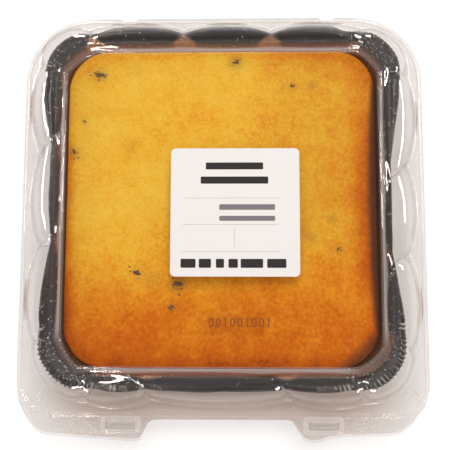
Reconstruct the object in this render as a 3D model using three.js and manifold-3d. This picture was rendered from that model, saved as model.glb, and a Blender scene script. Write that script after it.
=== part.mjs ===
// A square cornbread in its black foil baking tray, shut in a clear hinged clamshell pack.
// Millimetres, +Z up. The front of the pack, with its two grip tabs, faces -Y; the living hinge is at +Y.
// Pieces: clear base, foil tray, bread with its pepper flecks, clear lid, and the label on the lid.

import * as THREE from 'three';
import { mergeVertices } from 'three/addons/utils/BufferGeometryUtils.js';
import Module from 'manifold-3d';

const wasm = await Module();
wasm.setup();

// ---------------------------------------------------------------------------------------------
// Driving dimensions. Plan positions are measured from the middle of the lid's flat window.
// ---------------------------------------------------------------------------------------------

const PLASTIC = 0.5;              // sheet thickness of the clamshell
const FOIL = 0.4;                 // thickness of the foil tray
const GAP = 0.35;                 // clear space kept between two pieces that touch

const WINDOW_HALF = 80;           // half width of the lid's flat window, at its raised edge
const WINDOW_EDGE_Z = 47.5;       // height of that raised edge
const WINDOW_EDGE_WIDTH = 2.4;    // the raised edge's inner slope
const WINDOW_SUNK = 0.8;          // the window lies this far below its raised edge

const FLANGE_Z = 27.0;            // top of the base's flange
const FLANGE_BEAD = 0.8;          // height of the stiffening bead that runs round both flanges
const FLANGE_BEAD_INSET = 2.2;    // from the flange's outer edge to the crest of the bead
const FLANGE_LIP = 0.9;           // the flat strip outside the bead

const FLANGE_HALF_X = 105.8;
const FLANGE_FRONT = -107.0;
const FLANGE_BACK = 104.85;       // 0.15 mm short of the hinge line
const BACK_CORNER_RADIUS = 35;
const FRONT_CORNER_RADIUS = 19;
const TAB_FRONT = -118.1;         // the furthest reach of the grip tabs

// Puts the origin under the middle of the pack.
const PACK_SHIFT_Y = -(TAB_FRONT + FLANGE_BACK) / 2;

const FOOT_PAD = { at: 62, side: 14, height: 0.6, draft: 0.4 };   // four pads that the base stands on
const BASE_FLOOR_Z = FOOT_PAD.height + PLASTIC;                   // upper side of the base's floor

const FOOT_OUT = 16.5;            // where a profile's `out` ends: the foot of the dome
const CORNER_FOOT_OUT = 18.5;     // from the window's edge to the foot of a crease that borders a corner
const CORNER_LOBE_SAG = 9.0;      // how far a corner's lobe swells out of the line between its creases
const LOBE_STEPS = 6;             // points along one lobe of a ring

const TRAY_CENTRE = [-0.2, 1.9];
const TRAY_FLOOR_Z = BASE_FLOOR_Z + GAP;
const TRAY_RIM_Z = 39.0;          // crest of the rolled rim
const TRAY_BOTTOM_HALF = 72.5;
const TRAY_MOUTH_HALF = 85.2;     // inside of the wall where it meets the rim
const TRAY_RIM_HALF = 93.0;
const TRAY_BOTTOM_RADIUS = 13;
const TRAY_MOUTH_RADIUS = 21.2;
const TRAY_RIM_RADIUS = 26;
const TRAY_RIM_SET_IN = { left: 5.9, front: 0.5, right: 7.5, back: 0 };  // sides pressed in at mid length
const PLEAT_HEIGHT = 0.55;

const BREAD_CENTRE = [-0.6, 1.9];
const BREAD_TOP_HALF = 80.5;
const BREAD_LONGER = 2.3;         // what the crust reaches further to the front and the back
const BREAD_BOTTOM_HALF = 71.1;
const BREAD_TOP_RADIUS = 21;
const BREAD_BOTTOM_RADIUS = 12;
const BREAD_BOTTOM_ROUNDING = 2.4;
const BREAD_SHOULDER_Z = 32.5;    // where the side turns into the browned edge
const BREAD_CROWN_Z = 37.2;
const FLECK_HALF_HEIGHT = 0.9;
const FLECK_SIDES = 7;
const FLECK_STACKS = 4;
const FLECK_SUNK = 0.35;          // a fleck's middle lies this far below the crust

const LABEL_CENTRE = [6.8, -2.9];
const LABEL_SIDE = 64;
const LABEL_RADIUS = 2.4;
const LABEL_THICK = 0.25;

const BUTTON = { x: 51.6, y: -109.7, length: 18.8, width: 6.6, height: 2.0, draft: 0.8 };

// ---------------------------------------------------------------------------------------------
// Meshes, solids and closed sheets
// ---------------------------------------------------------------------------------------------

function material(colour, roughness, metalness, opacity = 1) {
  return new THREE.MeshStandardMaterial({
    color: colour, roughness, metalness, opacity, transparent: opacity < 1,
  });
}

const MERGE_DISTANCE = 1e-4;

function toSolid(geometry) {
  const plain = geometry.clone();
  plain.deleteAttribute('normal');
  plain.deleteAttribute('uv');
  const merged = mergeVertices(plain, MERGE_DISTANCE);
  return new wasm.Manifold(new wasm.Mesh({
    numProp: 3,
    vertProperties: Float32Array.from(merged.attributes.position.array),
    triVerts: Uint32Array.from(merged.index.array),
  }));
}

function toGeometry(solid) {
  const mesh = solid.getMesh();
  const geometry = new THREE.BufferGeometry();
  geometry.setAttribute('position', new THREE.Float32BufferAttribute(mesh.vertProperties, 3));
  geometry.setIndex(Array.from(mesh.triVerts));
  geometry.computeVertexNormals();
  return geometry;
}

function indexedGeometry(points, triangles) {
  const geometry = new THREE.BufferGeometry();
  geometry.setAttribute('position', new THREE.Float32BufferAttribute(points.flat(), 3));
  geometry.setIndex(triangles.flat());
  return geometry;
}

// The triangles between two rings of equal count, wound to face up when `inner` lies within `outer`.
function band(inner, outer, count) {
  const triangles = [];
  for (let i = 0; i < count; i++) {
    const j = (i + 1) % count;
    triangles.push([inner + i, outer + i, outer + j], [inner + i, outer + j, inner + j]);
  }
  return triangles;
}

// Closes a stack of rings, from the middle outwards, into a bowl-shaped surface with a middle point.
function surfaceFromRings(rings) {
  const count = rings[0].length;
  const mean = (axis) => rings[0].reduce((sum, p) => sum + p[axis], 0) / count;
  const points = [[mean(0), mean(1), mean(2)], ...rings.flat()];
  const triangles = [];
  for (let i = 0; i < count; i++) {
    triangles.push([0, 1 + i, 1 + ((i + 1) % count)]);
  }
  for (let r = 0; r + 1 < rings.length; r++) {
    triangles.push(...band(1 + r * count, 1 + (r + 1) * count, count));
  }
  return { points, triangles, count };
}

function vertexNormals({ points, triangles }) {
  const geometry = indexedGeometry(points, triangles);
  geometry.computeVertexNormals();
  const array = geometry.attributes.normal.array;
  return points.map((_, i) => [array[3 * i], array[3 * i + 1], array[3 * i + 2]]);
}

// A sheet of even thickness: the given upper surface, a copy set back along its normals, and the
// strip that joins their outer edges.
function sheetFromRings(rings, thickness) {
  const upper = surfaceFromRings(rings);
  const normals = vertexNormals(upper);
  const lower = upper.points.map((p, i) => p.map((v, a) => v - thickness * normals[i][a]));
  const size = upper.points.length;
  const edge = size - upper.count;
  const triangles = [
    ...upper.triangles,
    ...upper.triangles.map(([a, b, c]) => [a + size, c + size, b + size]),
    ...band(edge, edge + size, upper.count),
  ];
  return indexedGeometry([...upper.points, ...lower], triangles);
}

// A solid between an upper stack of rings and a flat bottom ring.
function solidFromRings(rings, bottomRing) {
  const upper = surfaceFromRings([...rings, bottomRing]);
  const last = upper.points.length - upper.count;
  const middle = upper.points.length;
  const points = [...upper.points, [upper.points[0][0], upper.points[0][1], bottomRing[0][2]]];
  const triangles = [...upper.triangles];
  for (let i = 0; i < upper.count; i++) {
    triangles.push([middle, last + ((i + 1) % upper.count), last + i]);
  }
  return indexedGeometry(points, triangles);
}

// ---------------------------------------------------------------------------------------------
// Scalloped walls of the lid and base
// ---------------------------------------------------------------------------------------------

// Each side has four creases, listed anticlockwise seen from above: where each starts along the
// window's edge, and where it reaches the foot. Between the middle ones the lobes lean a little.
// footOut is how far the middle creases reach, and sag how far the side's lobes swell out of them.
const SIDES = [
  { at: (along, out) => [-WINDOW_HALF - out, along], footOut: 16.5, sag: 5.1,
    creases: [[69, 78], [39, 30], [-12, -19.5], [-64.5, -68]] },
  { at: (along, out) => [along, -WINDOW_HALF - out], footOut: 16.9, sag: 3.8,
    creases: [[-70, -69], [-46, -36], [19, 36], [67, 71.5]] },
  { at: (along, out) => [WINDOW_HALF + out, along], footOut: 16.9, sag: 4.7,
    creases: [[-68.5, -71.5], [-35.5, -22.5], [10.5, 24], [68, 71]] },
  { at: (along, out) => [along, WINDOW_HALF + out], footOut: 18.0, sag: 3.6,
    creases: [[68, 74], [25, 26], [-18.5, -21], [-63, -72]] },
];

// Each crease also starts a lobe, which runs on to the next crease.
const CREASES = SIDES.flatMap(({ at, footOut, sag, creases }) => creases.map(([start, foot], k) => {
  const first = k === 0;
  const last = k === creases.length - 1;
  return {
    top: at(start, 0),
    foot: at(foot, first || last ? CORNER_FOOT_OUT : footOut),
    sag: last ? CORNER_LOBE_SAG : sag,
  };
}));

// One ring of the scalloped wall: `out` is the creases' distance from the window's edge, and
// `swell` is how much of the lobes' full sag the ring has.
function scallopRing({ out, swell, z }) {
  const reach = out / FOOT_OUT;
  const corners = CREASES.map(({ top, foot }) => top.map((v, a) => v + reach * (foot[a] - v)));
  return corners.flatMap((from, lobe) => {
    const to = corners[(lobe + 1) % corners.length];
    const chord = [to[0] - from[0], to[1] - from[1]];
    const length = Math.hypot(...chord);
    const outward = [chord[1] / length, -chord[0] / length];
    return Array.from({ length: LOBE_STEPS }, (_, k) => {
      const u = k / LOBE_STEPS;
      const bulge = swell * CREASES[lobe].sag * 4 * u * (1 - u);
      return [from[0] + u * chord[0] + bulge * outward[0], from[1] + u * chord[1] + bulge * outward[1], z];
    });
  });
}

// The flange's outer edge, met by rays from its middle through the points of a scalloped ring.
function flangeRing(ring, inset, z) {
  const middleY = (FLANGE_FRONT + FLANGE_BACK) / 2;
  const halfX = FLANGE_HALF_X - inset;
  const halfY = (FLANGE_BACK - FLANGE_FRONT) / 2 - inset;
  return ring.map(([x, y]) => {
    const ray = [x, y - middleY];
    const radius = (ray[1] > 0 ? BACK_CORNER_RADIUS : FRONT_CORNER_RADIUS) - inset;
    const straight = Math.min(halfX / Math.abs(ray[0]), halfY / Math.abs(ray[1]));
    const corner = [halfX - radius, halfY - radius];
    const reach = ray.map((v) => Math.abs(v * straight));
    let scale = straight;
    if (reach[0] > corner[0] && reach[1] > corner[1]) {
      const a = ray[0] ** 2 + ray[1] ** 2;
      const b = -2 * (Math.abs(ray[0]) * corner[0] + Math.abs(ray[1]) * corner[1]);
      const c = corner[0] ** 2 + corner[1] ** 2 - radius ** 2;
      scale = (-b + Math.sqrt(b * b - 4 * a * c)) / (2 * a);
    }
    return [ray[0] * scale, ray[1] * scale + middleY, z];
  });
}

// Height of the lid's flange on its upper side, clear of the base's flange below it.
const LID_FLANGE_Z = FLANGE_Z + GAP + PLASTIC;

// The lid's outer surface: raised window edge, gentle shoulder, steep scalloped wall, flange.
const LID_PROFILE = [
  { out: 0, swell: 0, drop: 0 },
  { out: 4.0, swell: 0.34, drop: 0.9 },
  { out: 8.5, swell: 0.70, drop: 2.7 },
  { out: 11.8, swell: 0.90, drop: 5.6 },
  { out: 13.3, swell: 0.97, drop: 9.4 },
];

function lidShell() {
  const rings = LID_PROFILE.map(({ out, swell, drop }) => (
    scallopRing({ out, swell, z: WINDOW_EDGE_Z - drop })
  ));
  const shrink = 1 - WINDOW_EDGE_WIDTH / WINDOW_HALF;
  const window = rings[0].map(([x, y]) => [x * shrink, y * shrink, WINDOW_EDGE_Z - WINDOW_SUNK]);
  const foot = scallopRing({ out: FOOT_OUT, swell: 1, z: LID_FLANGE_Z });
  const bead = flangeRing(foot, FLANGE_BEAD_INSET, LID_FLANGE_Z + FLANGE_BEAD);
  const lip = flangeRing(foot, FLANGE_LIP, LID_FLANGE_Z);
  const edge = flangeRing(foot, 0, LID_FLANGE_Z);
  return sheetFromRings([window, ...rings, foot, bead, lip, edge], PLASTIC);
}

// The base's inner surface, from its floor up to its flange.
const BASE_PROFILE = [
  { out: -3.0, swell: 0, z: BASE_FLOOR_Z },
  { out: 1.0, swell: 0.12, z: BASE_FLOOR_Z },
  { out: 4.2, swell: 0.42, z: BASE_FLOOR_Z + 1.7 },
  { out: 9.5, swell: 0.80, z: 13.0 },
  { out: 14.8, swell: 0.97, z: 25.0 },
];

function baseShell() {
  const rings = BASE_PROFILE.map(scallopRing);
  const foot = scallopRing({ out: FOOT_OUT, swell: 1, z: FLANGE_Z });
  const bead = flangeRing(foot, FLANGE_BEAD_INSET, FLANGE_Z + FLANGE_BEAD);
  const lip = flangeRing(foot, FLANGE_LIP, FLANGE_Z);
  const edge = flangeRing(foot, 0, FLANGE_Z);
  return sheetFromRings([...rings, foot, bead, lip, edge], PLASTIC);
}

function footPads() {
  const { at, side, height, draft } = FOOT_PAD;
  const corners = [[-1, -1], [1, -1], [1, 1], [-1, 1]];
  const ring = (x, y, half, z) => corners.map(([a, b]) => [x + a * half, y + b * half, z]);
  return corners.map(([a, b]) => toSolid(solidFromRings(
    [ring(a * at, b * at, side / 2 + draft, height + PLASTIC / 2)],
    ring(a * at, b * at, side / 2, 0),
  )));
}

// ---------------------------------------------------------------------------------------------
// Grip tabs and snap buttons at the two front corners
// ---------------------------------------------------------------------------------------------

// The tabs' free edges, from the middle of the pack outwards. Their inner edges lie under the
// outermost strip of the flange.
const LEFT_TAB = [
  [-33.0, -106.6], [-36.1, -107.5], [-38.6, -110.4], [-39.8, -115.9], [-42.1, -118.1], [-62.0, -117.0],
  [-82.6, -115.5], [-91.8, -114.9], [-96.8, -111.3], [-101.4, -104.3], [-104.6, -98.2], [-105.7, -89.5],
];
const RIGHT_TAB = [
  [34.7, -106.7], [37.2, -108.4], [38.2, -112.9], [40.9, -116.8], [45.2, -118.1], [49.7, -117.7],
  [53.8, -116.2], [63.9, -114.8], [88.0, -114.5], [95.9, -109.5], [99.9, -103.1], [103.7, -99.4],
  [105.7, -89.5],
];
const TAB_LAP = 0.7;              // how far a tab's plate runs under the flange's outer strip
const TAB_LAP_STEPS = 6;
const BASE_TAB_SHORTER = 1.2;     // the base's tabs end before the lid's, so that a finger finds the lid
const TAB_TAPER = 4;              // the shortening grows over this much of a tab's reach
const BUTTON_ROOT = 0.4;          // how deep a button's block starts in its plate
const BUTTON_CUT = 1.0;           // how far under the plate the cut that hollows a button starts

function tabPlate(freeEdge, undersideZ, shorter) {
  const side = Math.sign(freeEdge[0][0]);
  const corner = [side * (FLANGE_HALF_X - FRONT_CORNER_RADIUS), FLANGE_FRONT + FRONT_CORNER_RADIUS];
  const radius = FRONT_CORNER_RADIUS - TAB_LAP;
  const lap = Array.from({ length: TAB_LAP_STEPS + 1 }, (_, k) => {
    const angle = Math.PI / 2 * k / TAB_LAP_STEPS;
    return [corner[0] + side * radius * Math.cos(angle), corner[1] - radius * Math.sin(angle)];
  });
  const outer = freeEdge.map(([x, y]) => {
    const beyond = Math.max(0, FLANGE_FRONT - y);
    return [x, y + shorter * Math.min(1, beyond / TAB_TAPER)];
  });
  const points = [...outer, ...lap].map(([x, y]) => new THREE.Vector2(x, y));
  if (THREE.ShapeUtils.isClockWise(points)) points.reverse();
  const shape = new THREE.Shape(points);
  const geometry = new THREE.ExtrudeGeometry(shape, { depth: PLASTIC, bevelEnabled: false });
  geometry.translate(0, 0, undersideZ);
  return toSolid(geometry);
}

// A block with sloping sides round a button. Its length and width are those at plateZ.
function buttonBlock(side, length, width, plateZ, bottom, top) {
  const ring = (z) => {
    const inset = BUTTON.draft * (z - plateZ) / BUTTON.height;
    const a = length / 2 - inset;
    const b = width / 2 - inset;
    const corners = [[-a, -b], [a, -b], [a, b], [-a, b]];
    return corners.map(([x, y]) => [side * BUTTON.x + x, BUTTON.y + y, z]);
  };
  return toSolid(solidFromRings([ring(top)], ring(bottom)));
}

function withTabs(shell, undersideZ, shorter, buttonInset) {
  const upperZ = undersideZ + PLASTIC;
  const top = upperZ + BUTTON.height;
  let solid = toSolid(shell)
    .add(tabPlate(LEFT_TAB, undersideZ, shorter))
    .add(tabPlate(RIGHT_TAB, undersideZ, shorter));
  const length = BUTTON.length - 2 * buttonInset;
  const width = BUTTON.width - 2 * buttonInset;
  for (const side of [-1, 1]) {
    const outside = buttonBlock(side, length, width, upperZ, upperZ - BUTTON_ROOT, top);
    const hollow = buttonBlock(
      side, length - 2 * PLASTIC, width - 2 * PLASTIC, undersideZ, undersideZ - BUTTON_CUT, top - PLASTIC,
    );
    solid = solid.add(outside).subtract(hollow);
  }
  return solid;
}

const NESTED_BUTTON_INSET = PLASTIC + GAP;

function lidGeometry() {
  return toGeometry(withTabs(lidShell(), LID_FLANGE_Z - PLASTIC, 0, 0));
}

function baseGeometry() {
  const shell = withTabs(baseShell(), FLANGE_Z - PLASTIC, BASE_TAB_SHORTER, NESTED_BUTTON_INSET);
  return toGeometry(footPads().reduce((base, pad) => base.add(pad), shell));
}

// ---------------------------------------------------------------------------------------------
// Rounded squares, for the tray and the bread
// ---------------------------------------------------------------------------------------------

const SIDE_NAMES = ['right', 'back', 'left', 'front'];

// Points round a square with round corners, anticlockwise from the middle of the right side's lower
// end. Each point also tells its side, how far along that side it is, and how deep in a corner.
function roundedSquare(half, radius, cornerSteps, sideSteps) {
  const straight = half - radius;
  const points = [];
  SIDE_NAMES.forEach((side, quarter) => {
    const turn = quarter * Math.PI / 2;
    const [cos, sin] = [Math.cos(turn), Math.sin(turn)];
    const rotate = ([x, y]) => [x * cos - y * sin, x * sin + y * cos];
    for (let k = 0; k < sideSteps; k++) {
      const along = -1 + 2 * k / sideSteps;
      points.push({ at: rotate([half, along * straight]), side, along, corner: 0, out: rotate([1, 0]) });
    }
    for (let k = 0; k < cornerSteps; k++) {
      const angle = Math.PI / 2 * k / cornerSteps;
      const out = [Math.cos(angle), Math.sin(angle)];
      points.push({
        at: rotate([straight + radius * out[0], straight + radius * out[1]]),
        side, along: 1, corner: Math.sin(2 * angle), out: rotate(out),
      });
    }
  });
  return points;
}

// ---------------------------------------------------------------------------------------------
// Foil baking tray: drafted wall, and a rolled rim pleated round its corners
// ---------------------------------------------------------------------------------------------

const TRAY_CORNER_STEPS = 20;
const TRAY_SIDE_STEPS = 14;

// Where the dome's creases press into the back of the rim: place along it, and depth.
const RIM_DENTS = [[68, 0.9], [25.5, 1.7], [-20, 1.5], [-69, 0.9]];
const RIM_DENT_WIDTH = 8;

// rim: 0 at the mouth of the tray, 1 at the rim's outer edge.
const TRAY_PROFILE = [
  { half: TRAY_BOTTOM_HALF - 3.2, radius: TRAY_BOTTOM_RADIUS - 3, z: TRAY_FLOOR_Z + FOIL, rim: 0, pleat: 0 },
  { half: TRAY_BOTTOM_HALF, radius: TRAY_BOTTOM_RADIUS, z: TRAY_FLOOR_Z + FOIL + 2.4, rim: 0, pleat: 0 },
  { half: TRAY_MOUTH_HALF, radius: TRAY_MOUTH_RADIUS, z: TRAY_RIM_Z - 1.6, rim: 0, pleat: 0 },
  { half: TRAY_MOUTH_HALF + 2.6, radius: TRAY_MOUTH_RADIUS + 1.6, z: TRAY_RIM_Z - 0.2, rim: 0.3, pleat: 0.5 },
  { half: TRAY_RIM_HALF - 2.0, radius: TRAY_RIM_RADIUS - 1.4, z: TRAY_RIM_Z - 0.5, rim: 0.8, pleat: 1 },
  { half: TRAY_RIM_HALF, radius: TRAY_RIM_RADIUS, z: TRAY_RIM_Z - 3.2, rim: 1, pleat: 0.6 },
];

function rimDent({ at: [x, y] }) {
  if (y < TRAY_MOUTH_HALF) return 0;
  return RIM_DENTS.reduce((sum, [place, depth]) => (
    sum + depth * Math.exp(-(((x - place) / RIM_DENT_WIDTH) ** 2))
  ), 0);
}

function trayRing({ half, radius, z, rim, pleat }) {
  return roundedSquare(half, radius, TRAY_CORNER_STEPS, TRAY_SIDE_STEPS).map((p, index) => {
    const pressedIn = p.corner > 0 ? 0 : TRAY_RIM_SET_IN[p.side] * (1 - p.along ** 2);
    const setIn = rim * (pressedIn + rimDent(p));
    const fold = index % 2 ? 1 : -1;
    const lift = pleat * PLEAT_HEIGHT * fold * Math.min(1, 2 * p.corner);
    return [
      TRAY_CENTRE[0] + p.at[0] - setIn * p.out[0],
      TRAY_CENTRE[1] + p.at[1] - setIn * p.out[1],
      z + lift,
    ];
  });
}

const trayGeometry = () => sheetFromRings(TRAY_PROFILE.map(trayRing), FOIL);

// ---------------------------------------------------------------------------------------------
// Cornbread with pepper flecks
// ---------------------------------------------------------------------------------------------

const BREAD_CORNER_STEPS = 12;
const BREAD_SIDE_STEPS = 12;

// From the middle of the crown to the side: inset from the bread's widest outline, and height.
const BREAD_PROFILE = [
  { inset: 58, z: BREAD_CROWN_Z - 0.1 },
  { inset: 36, z: BREAD_CROWN_Z - 0.4 },
  { inset: 18, z: BREAD_CROWN_Z - 0.9 },
  { inset: 8, z: BREAD_CROWN_Z - 1.6 },
  { inset: 3, z: BREAD_CROWN_Z - 2.6 },
  { inset: 0.6, z: BREAD_CROWN_Z - 3.8 },
  { inset: 0, z: BREAD_SHOULDER_Z },
];

// Slow rise and fall of the baked crust.
function crustWave(x, y) {
  return 0.22 * Math.sin(x / 17 + 1.1) * Math.cos(y / 23 - 0.4) + 0.14 * Math.sin((x - y) / 11);
}

function breadRing(half, radius, z, { longer, wave }) {
  return roundedSquare(half, radius, BREAD_CORNER_STEPS, BREAD_SIDE_STEPS).map(({ at: [x, across] }) => {
    const y = across * (1 + longer / half);
    return [BREAD_CENTRE[0] + x, BREAD_CENTRE[1] + y, z + (wave ? crustWave(x, y) : 0)];
  });
}

// Corners of the crust's inner rings tighten with their inset, down to this radius.
const BREAD_SMALLEST_RADIUS = 5;
const BREAD_RADIUS_LOSS = 0.4;

function breadSolid() {
  const top = BREAD_PROFILE.map(({ inset, z }) => breadRing(
    BREAD_TOP_HALF - inset,
    Math.max(BREAD_SMALLEST_RADIUS, BREAD_TOP_RADIUS - BREAD_RADIUS_LOSS * inset),
    z,
    { longer: BREAD_LONGER, wave: z > BREAD_SHOULDER_Z },
  ));
  const bottomZ = TRAY_FLOOR_Z + FOIL + GAP;
  const rounding = BREAD_BOTTOM_ROUNDING;
  const plain = { longer: 0, wave: false };
  const foot = breadRing(BREAD_BOTTOM_HALF, BREAD_BOTTOM_RADIUS, bottomZ + rounding, plain);
  const bottom = breadRing(BREAD_BOTTOM_HALF - rounding, BREAD_BOTTOM_RADIUS - rounding, bottomZ, plain);
  return toSolid(solidFromRings([...top, foot], bottom));
}

// Bits of green pepper that break the crust: place, length, width and turn in degrees.
const FLECKS = [
  { x: -64.3, y: 71.0, length: 5.6, width: 2.2, turn: 4 },
  { x: -72.1, y: 46.3, length: 1.8, width: 1.4, turn: 0 },
  { x: -77.0, y: 29.8, length: 4.4, width: 1.9, turn: -50 },
  { x: 7.2, y: 78.0, length: 5.4, width: 1.7, turn: 22 },
  { x: 36.4, y: 64.5, length: 2.2, width: 1.7, turn: 30 },
  { x: -43.1, y: -32.9, length: 5.6, width: 3.6, turn: -20 },
  { x: -22.1, y: -38.4, length: 6.2, width: 3.4, turn: -12 },
  { x: -25.1, y: -50.0, length: 3.0, width: 1.6, turn: 15 },
  { x: 59.0, y: -20.6, length: 2.2, width: 1.5, turn: 40 },
];

function breadHeight(x, y) {
  const inset = Math.min(
    BREAD_TOP_HALF - Math.abs(x - BREAD_CENTRE[0]),
    BREAD_TOP_HALF + BREAD_LONGER - Math.abs(y - BREAD_CENTRE[1]),
  );
  const k = BREAD_PROFILE.findIndex((ring) => ring.inset <= inset);
  if (k <= 0) return BREAD_CROWN_Z;
  const [far, near] = [BREAD_PROFILE[k - 1], BREAD_PROFILE[k]];
  const share = (inset - near.inset) / (far.inset - near.inset);
  return near.z + share * (far.z - near.z) + crustWave(x - BREAD_CENTRE[0], y - BREAD_CENTRE[1]);
}

function fleckSolid({ x, y, length, width, turn }) {
  const geometry = new THREE.SphereGeometry(1, FLECK_SIDES, FLECK_STACKS);
  geometry.rotateX(Math.PI / 2);
  geometry.scale(length / 2, width / 2, FLECK_HALF_HEIGHT);
  geometry.rotateZ(THREE.MathUtils.degToRad(turn));
  geometry.translate(x, y, breadHeight(x, y) - FLECK_SUNK);
  return toSolid(geometry);
}

function breadGeometry() {
  return toGeometry(FLECKS.reduce((bread, fleck) => bread.add(fleckSolid(fleck)), breadSolid()));
}

// ---------------------------------------------------------------------------------------------
// Paper label on the lid's window
// ---------------------------------------------------------------------------------------------

function labelGeometry() {
  const half = LABEL_SIDE / 2;
  const turn = half - LABEL_RADIUS;
  const shape = new THREE.Shape();
  shape.absarc(turn, turn, LABEL_RADIUS, 0, Math.PI / 2);
  shape.absarc(-turn, turn, LABEL_RADIUS, Math.PI / 2, Math.PI);
  shape.absarc(-turn, -turn, LABEL_RADIUS, Math.PI, 1.5 * Math.PI);
  shape.absarc(turn, -turn, LABEL_RADIUS, 1.5 * Math.PI, 2 * Math.PI);
  const geometry = new THREE.ExtrudeGeometry(shape, {
    depth: LABEL_THICK, bevelEnabled: false, curveSegments: 4,
  });
  geometry.translate(...LABEL_CENTRE, WINDOW_EDGE_Z - WINDOW_SUNK + GAP);
  return geometry;
}

// ---------------------------------------------------------------------------------------------
// The pack
// ---------------------------------------------------------------------------------------------

const CLEAR_PLASTIC = material(0xe6e9ea, 0.06, 0, 0.25);

const PIECES = [
  ['clear_base', baseGeometry, CLEAR_PLASTIC],
  ['foil_tray', trayGeometry, material(0x1c1a19, 0.32, 0.6)],
  ['cornbread', breadGeometry, material(0xd98a22, 0.75, 0)],
  ['clear_lid', lidGeometry, CLEAR_PLASTIC],
  ['label', labelGeometry, material(0xf4f2ee, 0.55, 0)],
];

const pack = new THREE.Group();
pack.position.y = PACK_SHIFT_Y;
for (const [name, geometry, look] of PIECES) {
  const mesh = new THREE.Mesh(geometry(), look.clone());
  mesh.name = name;
  pack.add(mesh);
}
pack.updateMatrixWorld(true);

export default pack;
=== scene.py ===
import math
import random

import bpy
import numpy as np
from mathutils import Euler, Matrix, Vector, noise


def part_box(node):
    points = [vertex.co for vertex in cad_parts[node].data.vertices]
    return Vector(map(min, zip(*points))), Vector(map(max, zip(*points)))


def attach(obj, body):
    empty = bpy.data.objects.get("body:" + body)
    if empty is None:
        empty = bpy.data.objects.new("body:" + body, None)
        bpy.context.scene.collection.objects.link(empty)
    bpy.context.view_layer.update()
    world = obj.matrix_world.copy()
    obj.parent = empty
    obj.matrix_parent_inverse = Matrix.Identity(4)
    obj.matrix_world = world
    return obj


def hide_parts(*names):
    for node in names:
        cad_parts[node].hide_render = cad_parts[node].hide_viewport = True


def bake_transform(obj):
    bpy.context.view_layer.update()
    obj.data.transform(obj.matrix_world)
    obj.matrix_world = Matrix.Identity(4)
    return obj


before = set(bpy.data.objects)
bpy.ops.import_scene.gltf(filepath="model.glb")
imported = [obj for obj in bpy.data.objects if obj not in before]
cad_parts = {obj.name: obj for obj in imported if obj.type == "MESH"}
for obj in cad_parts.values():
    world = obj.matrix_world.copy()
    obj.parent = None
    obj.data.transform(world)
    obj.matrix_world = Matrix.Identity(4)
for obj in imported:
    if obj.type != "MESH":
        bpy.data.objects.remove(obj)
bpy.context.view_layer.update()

# A square cornbread in a black foil tray, shut in a clear hinged clamshell with a label.
# Lengths are millimetres in the plan frame of part.mjs: x to the right, y towards the hinge, both from
# the middle of the lid's window, and z up from the floor. place() turns them into the row's metres.

MM = 0.001

FLANGE_BACK = 104.85
SHIFT_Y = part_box("clear_lid")[1].y / MM - FLANGE_BACK


def place(points):
    return (np.asarray(points, float) + (0, SHIFT_Y, 0)) * MM


# ---- Driving dimensions, the same as the solids' ----

PLASTIC = 0.5
FOIL = 0.4
GAP = 0.35

WINDOW_HALF = 80
WINDOW_Z = 46.7
LID_FLANGE_Z = 27.85
BASE_FLANGE_Z = 27.0
BASE_FLOOR_Z = 1.1
HINGE_Z = 27.175

FLANGE_HALF_X = 105.8
FLANGE_FRONT = -107.0
BACK_CORNER_RADIUS = 35
FRONT_CORNER_RADIUS = 19
FLANGE_MIDDLE = np.array([0, (FLANGE_FRONT + FLANGE_BACK) / 2])

FOOT_OUT = 16.5
CORNER_FOOT_OUT = 18.5
CORNER_LOBE_SAG = 9.0
LOBES_PER_SIDE = 4
LOBE_STEPS = 34

# The left, front, right and back side: how far out its middle creases' feet lie, its lobes' sag, and where
# each crease starts along the window's edge and where it ends at the foot.
SIDES = (
    (16.5, 5.1, ((69, 78), (39, 30), (-12, -19.5), (-64.5, -68))),
    (16.9, 3.8, ((-70, -69), (-46, -36), (19, 36), (67, 71.5))),
    (16.9, 4.7, ((-68.5, -71.5), (-35.5, -22.5), (10.5, 24), (68, 71))),
    (18.0, 3.6, ((68, 74), (25, 26), (-18.5, -21), (-63, -72))),
)

TRAY_CENTRE = (-0.2, 1.9)
TRAY_FLOOR_Z = BASE_FLOOR_Z + GAP
TRAY_RIM_HALF = 93.0
TRAY_RIM_RADIUS = 26
TRAY_SET_IN = {"left": 5.9, "front": 0.5, "right": 7.5, "back": 0}

# Where the dome's creases press into the back of the rim: place along it, and depth.
RIM_DENTS = ((68, 0.9), (25.5, 1.7), (-20, 1.5), (-69, 0.9))
RIM_DENT_WIDTH = 8

# How far the rim flares out into the lobes on each side.
RIM_FLARE = {"left": 2.3, "front": 1.6, "right": 1.6, "back": 2.7}
CORNER_FLARE = 1.2

BREAD_CENTRE = (-0.6, 1.9)
BREAD_TOP_HALF = 80.5
BREAD_LONGER = 2.3
BREAD_CROWN_Z = 37.2

LABEL_CENTRE = (6.8, -2.9)
LABEL_SIDE = 64
LABEL_RADIUS = 2.4
LABEL_BOTTOM_Z = WINDOW_Z + GAP
LABEL_TOP_Z = LABEL_BOTTOM_Z + 0.25

BUTTON_X = 51.6
BUTTON_Y = -109.7


# ---- Meshes ----


def add_object(name, data):
    obj = bpy.data.objects.new(name, data)
    bpy.context.scene.collection.objects.link(obj)
    return obj


def add_mesh(name, points, faces, material, sharp_angle=None):
    """A mesh object from plan points in mm and faces of point numbers."""
    mesh = bpy.data.meshes.new(name)
    mesh.from_pydata(place(points).tolist(), [], [list(map(int, f)) for f in faces])
    mesh.polygons.foreach_set("use_smooth", [True] * len(mesh.polygons))
    if sharp_angle is not None:
        mesh.set_sharp_from_angle(angle=math.radians(sharp_angle))
    mesh.materials.append(material)
    return add_object(name, mesh)


def at_height(xy, z):
    return np.column_stack([xy, np.full(len(xy), z)])


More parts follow.
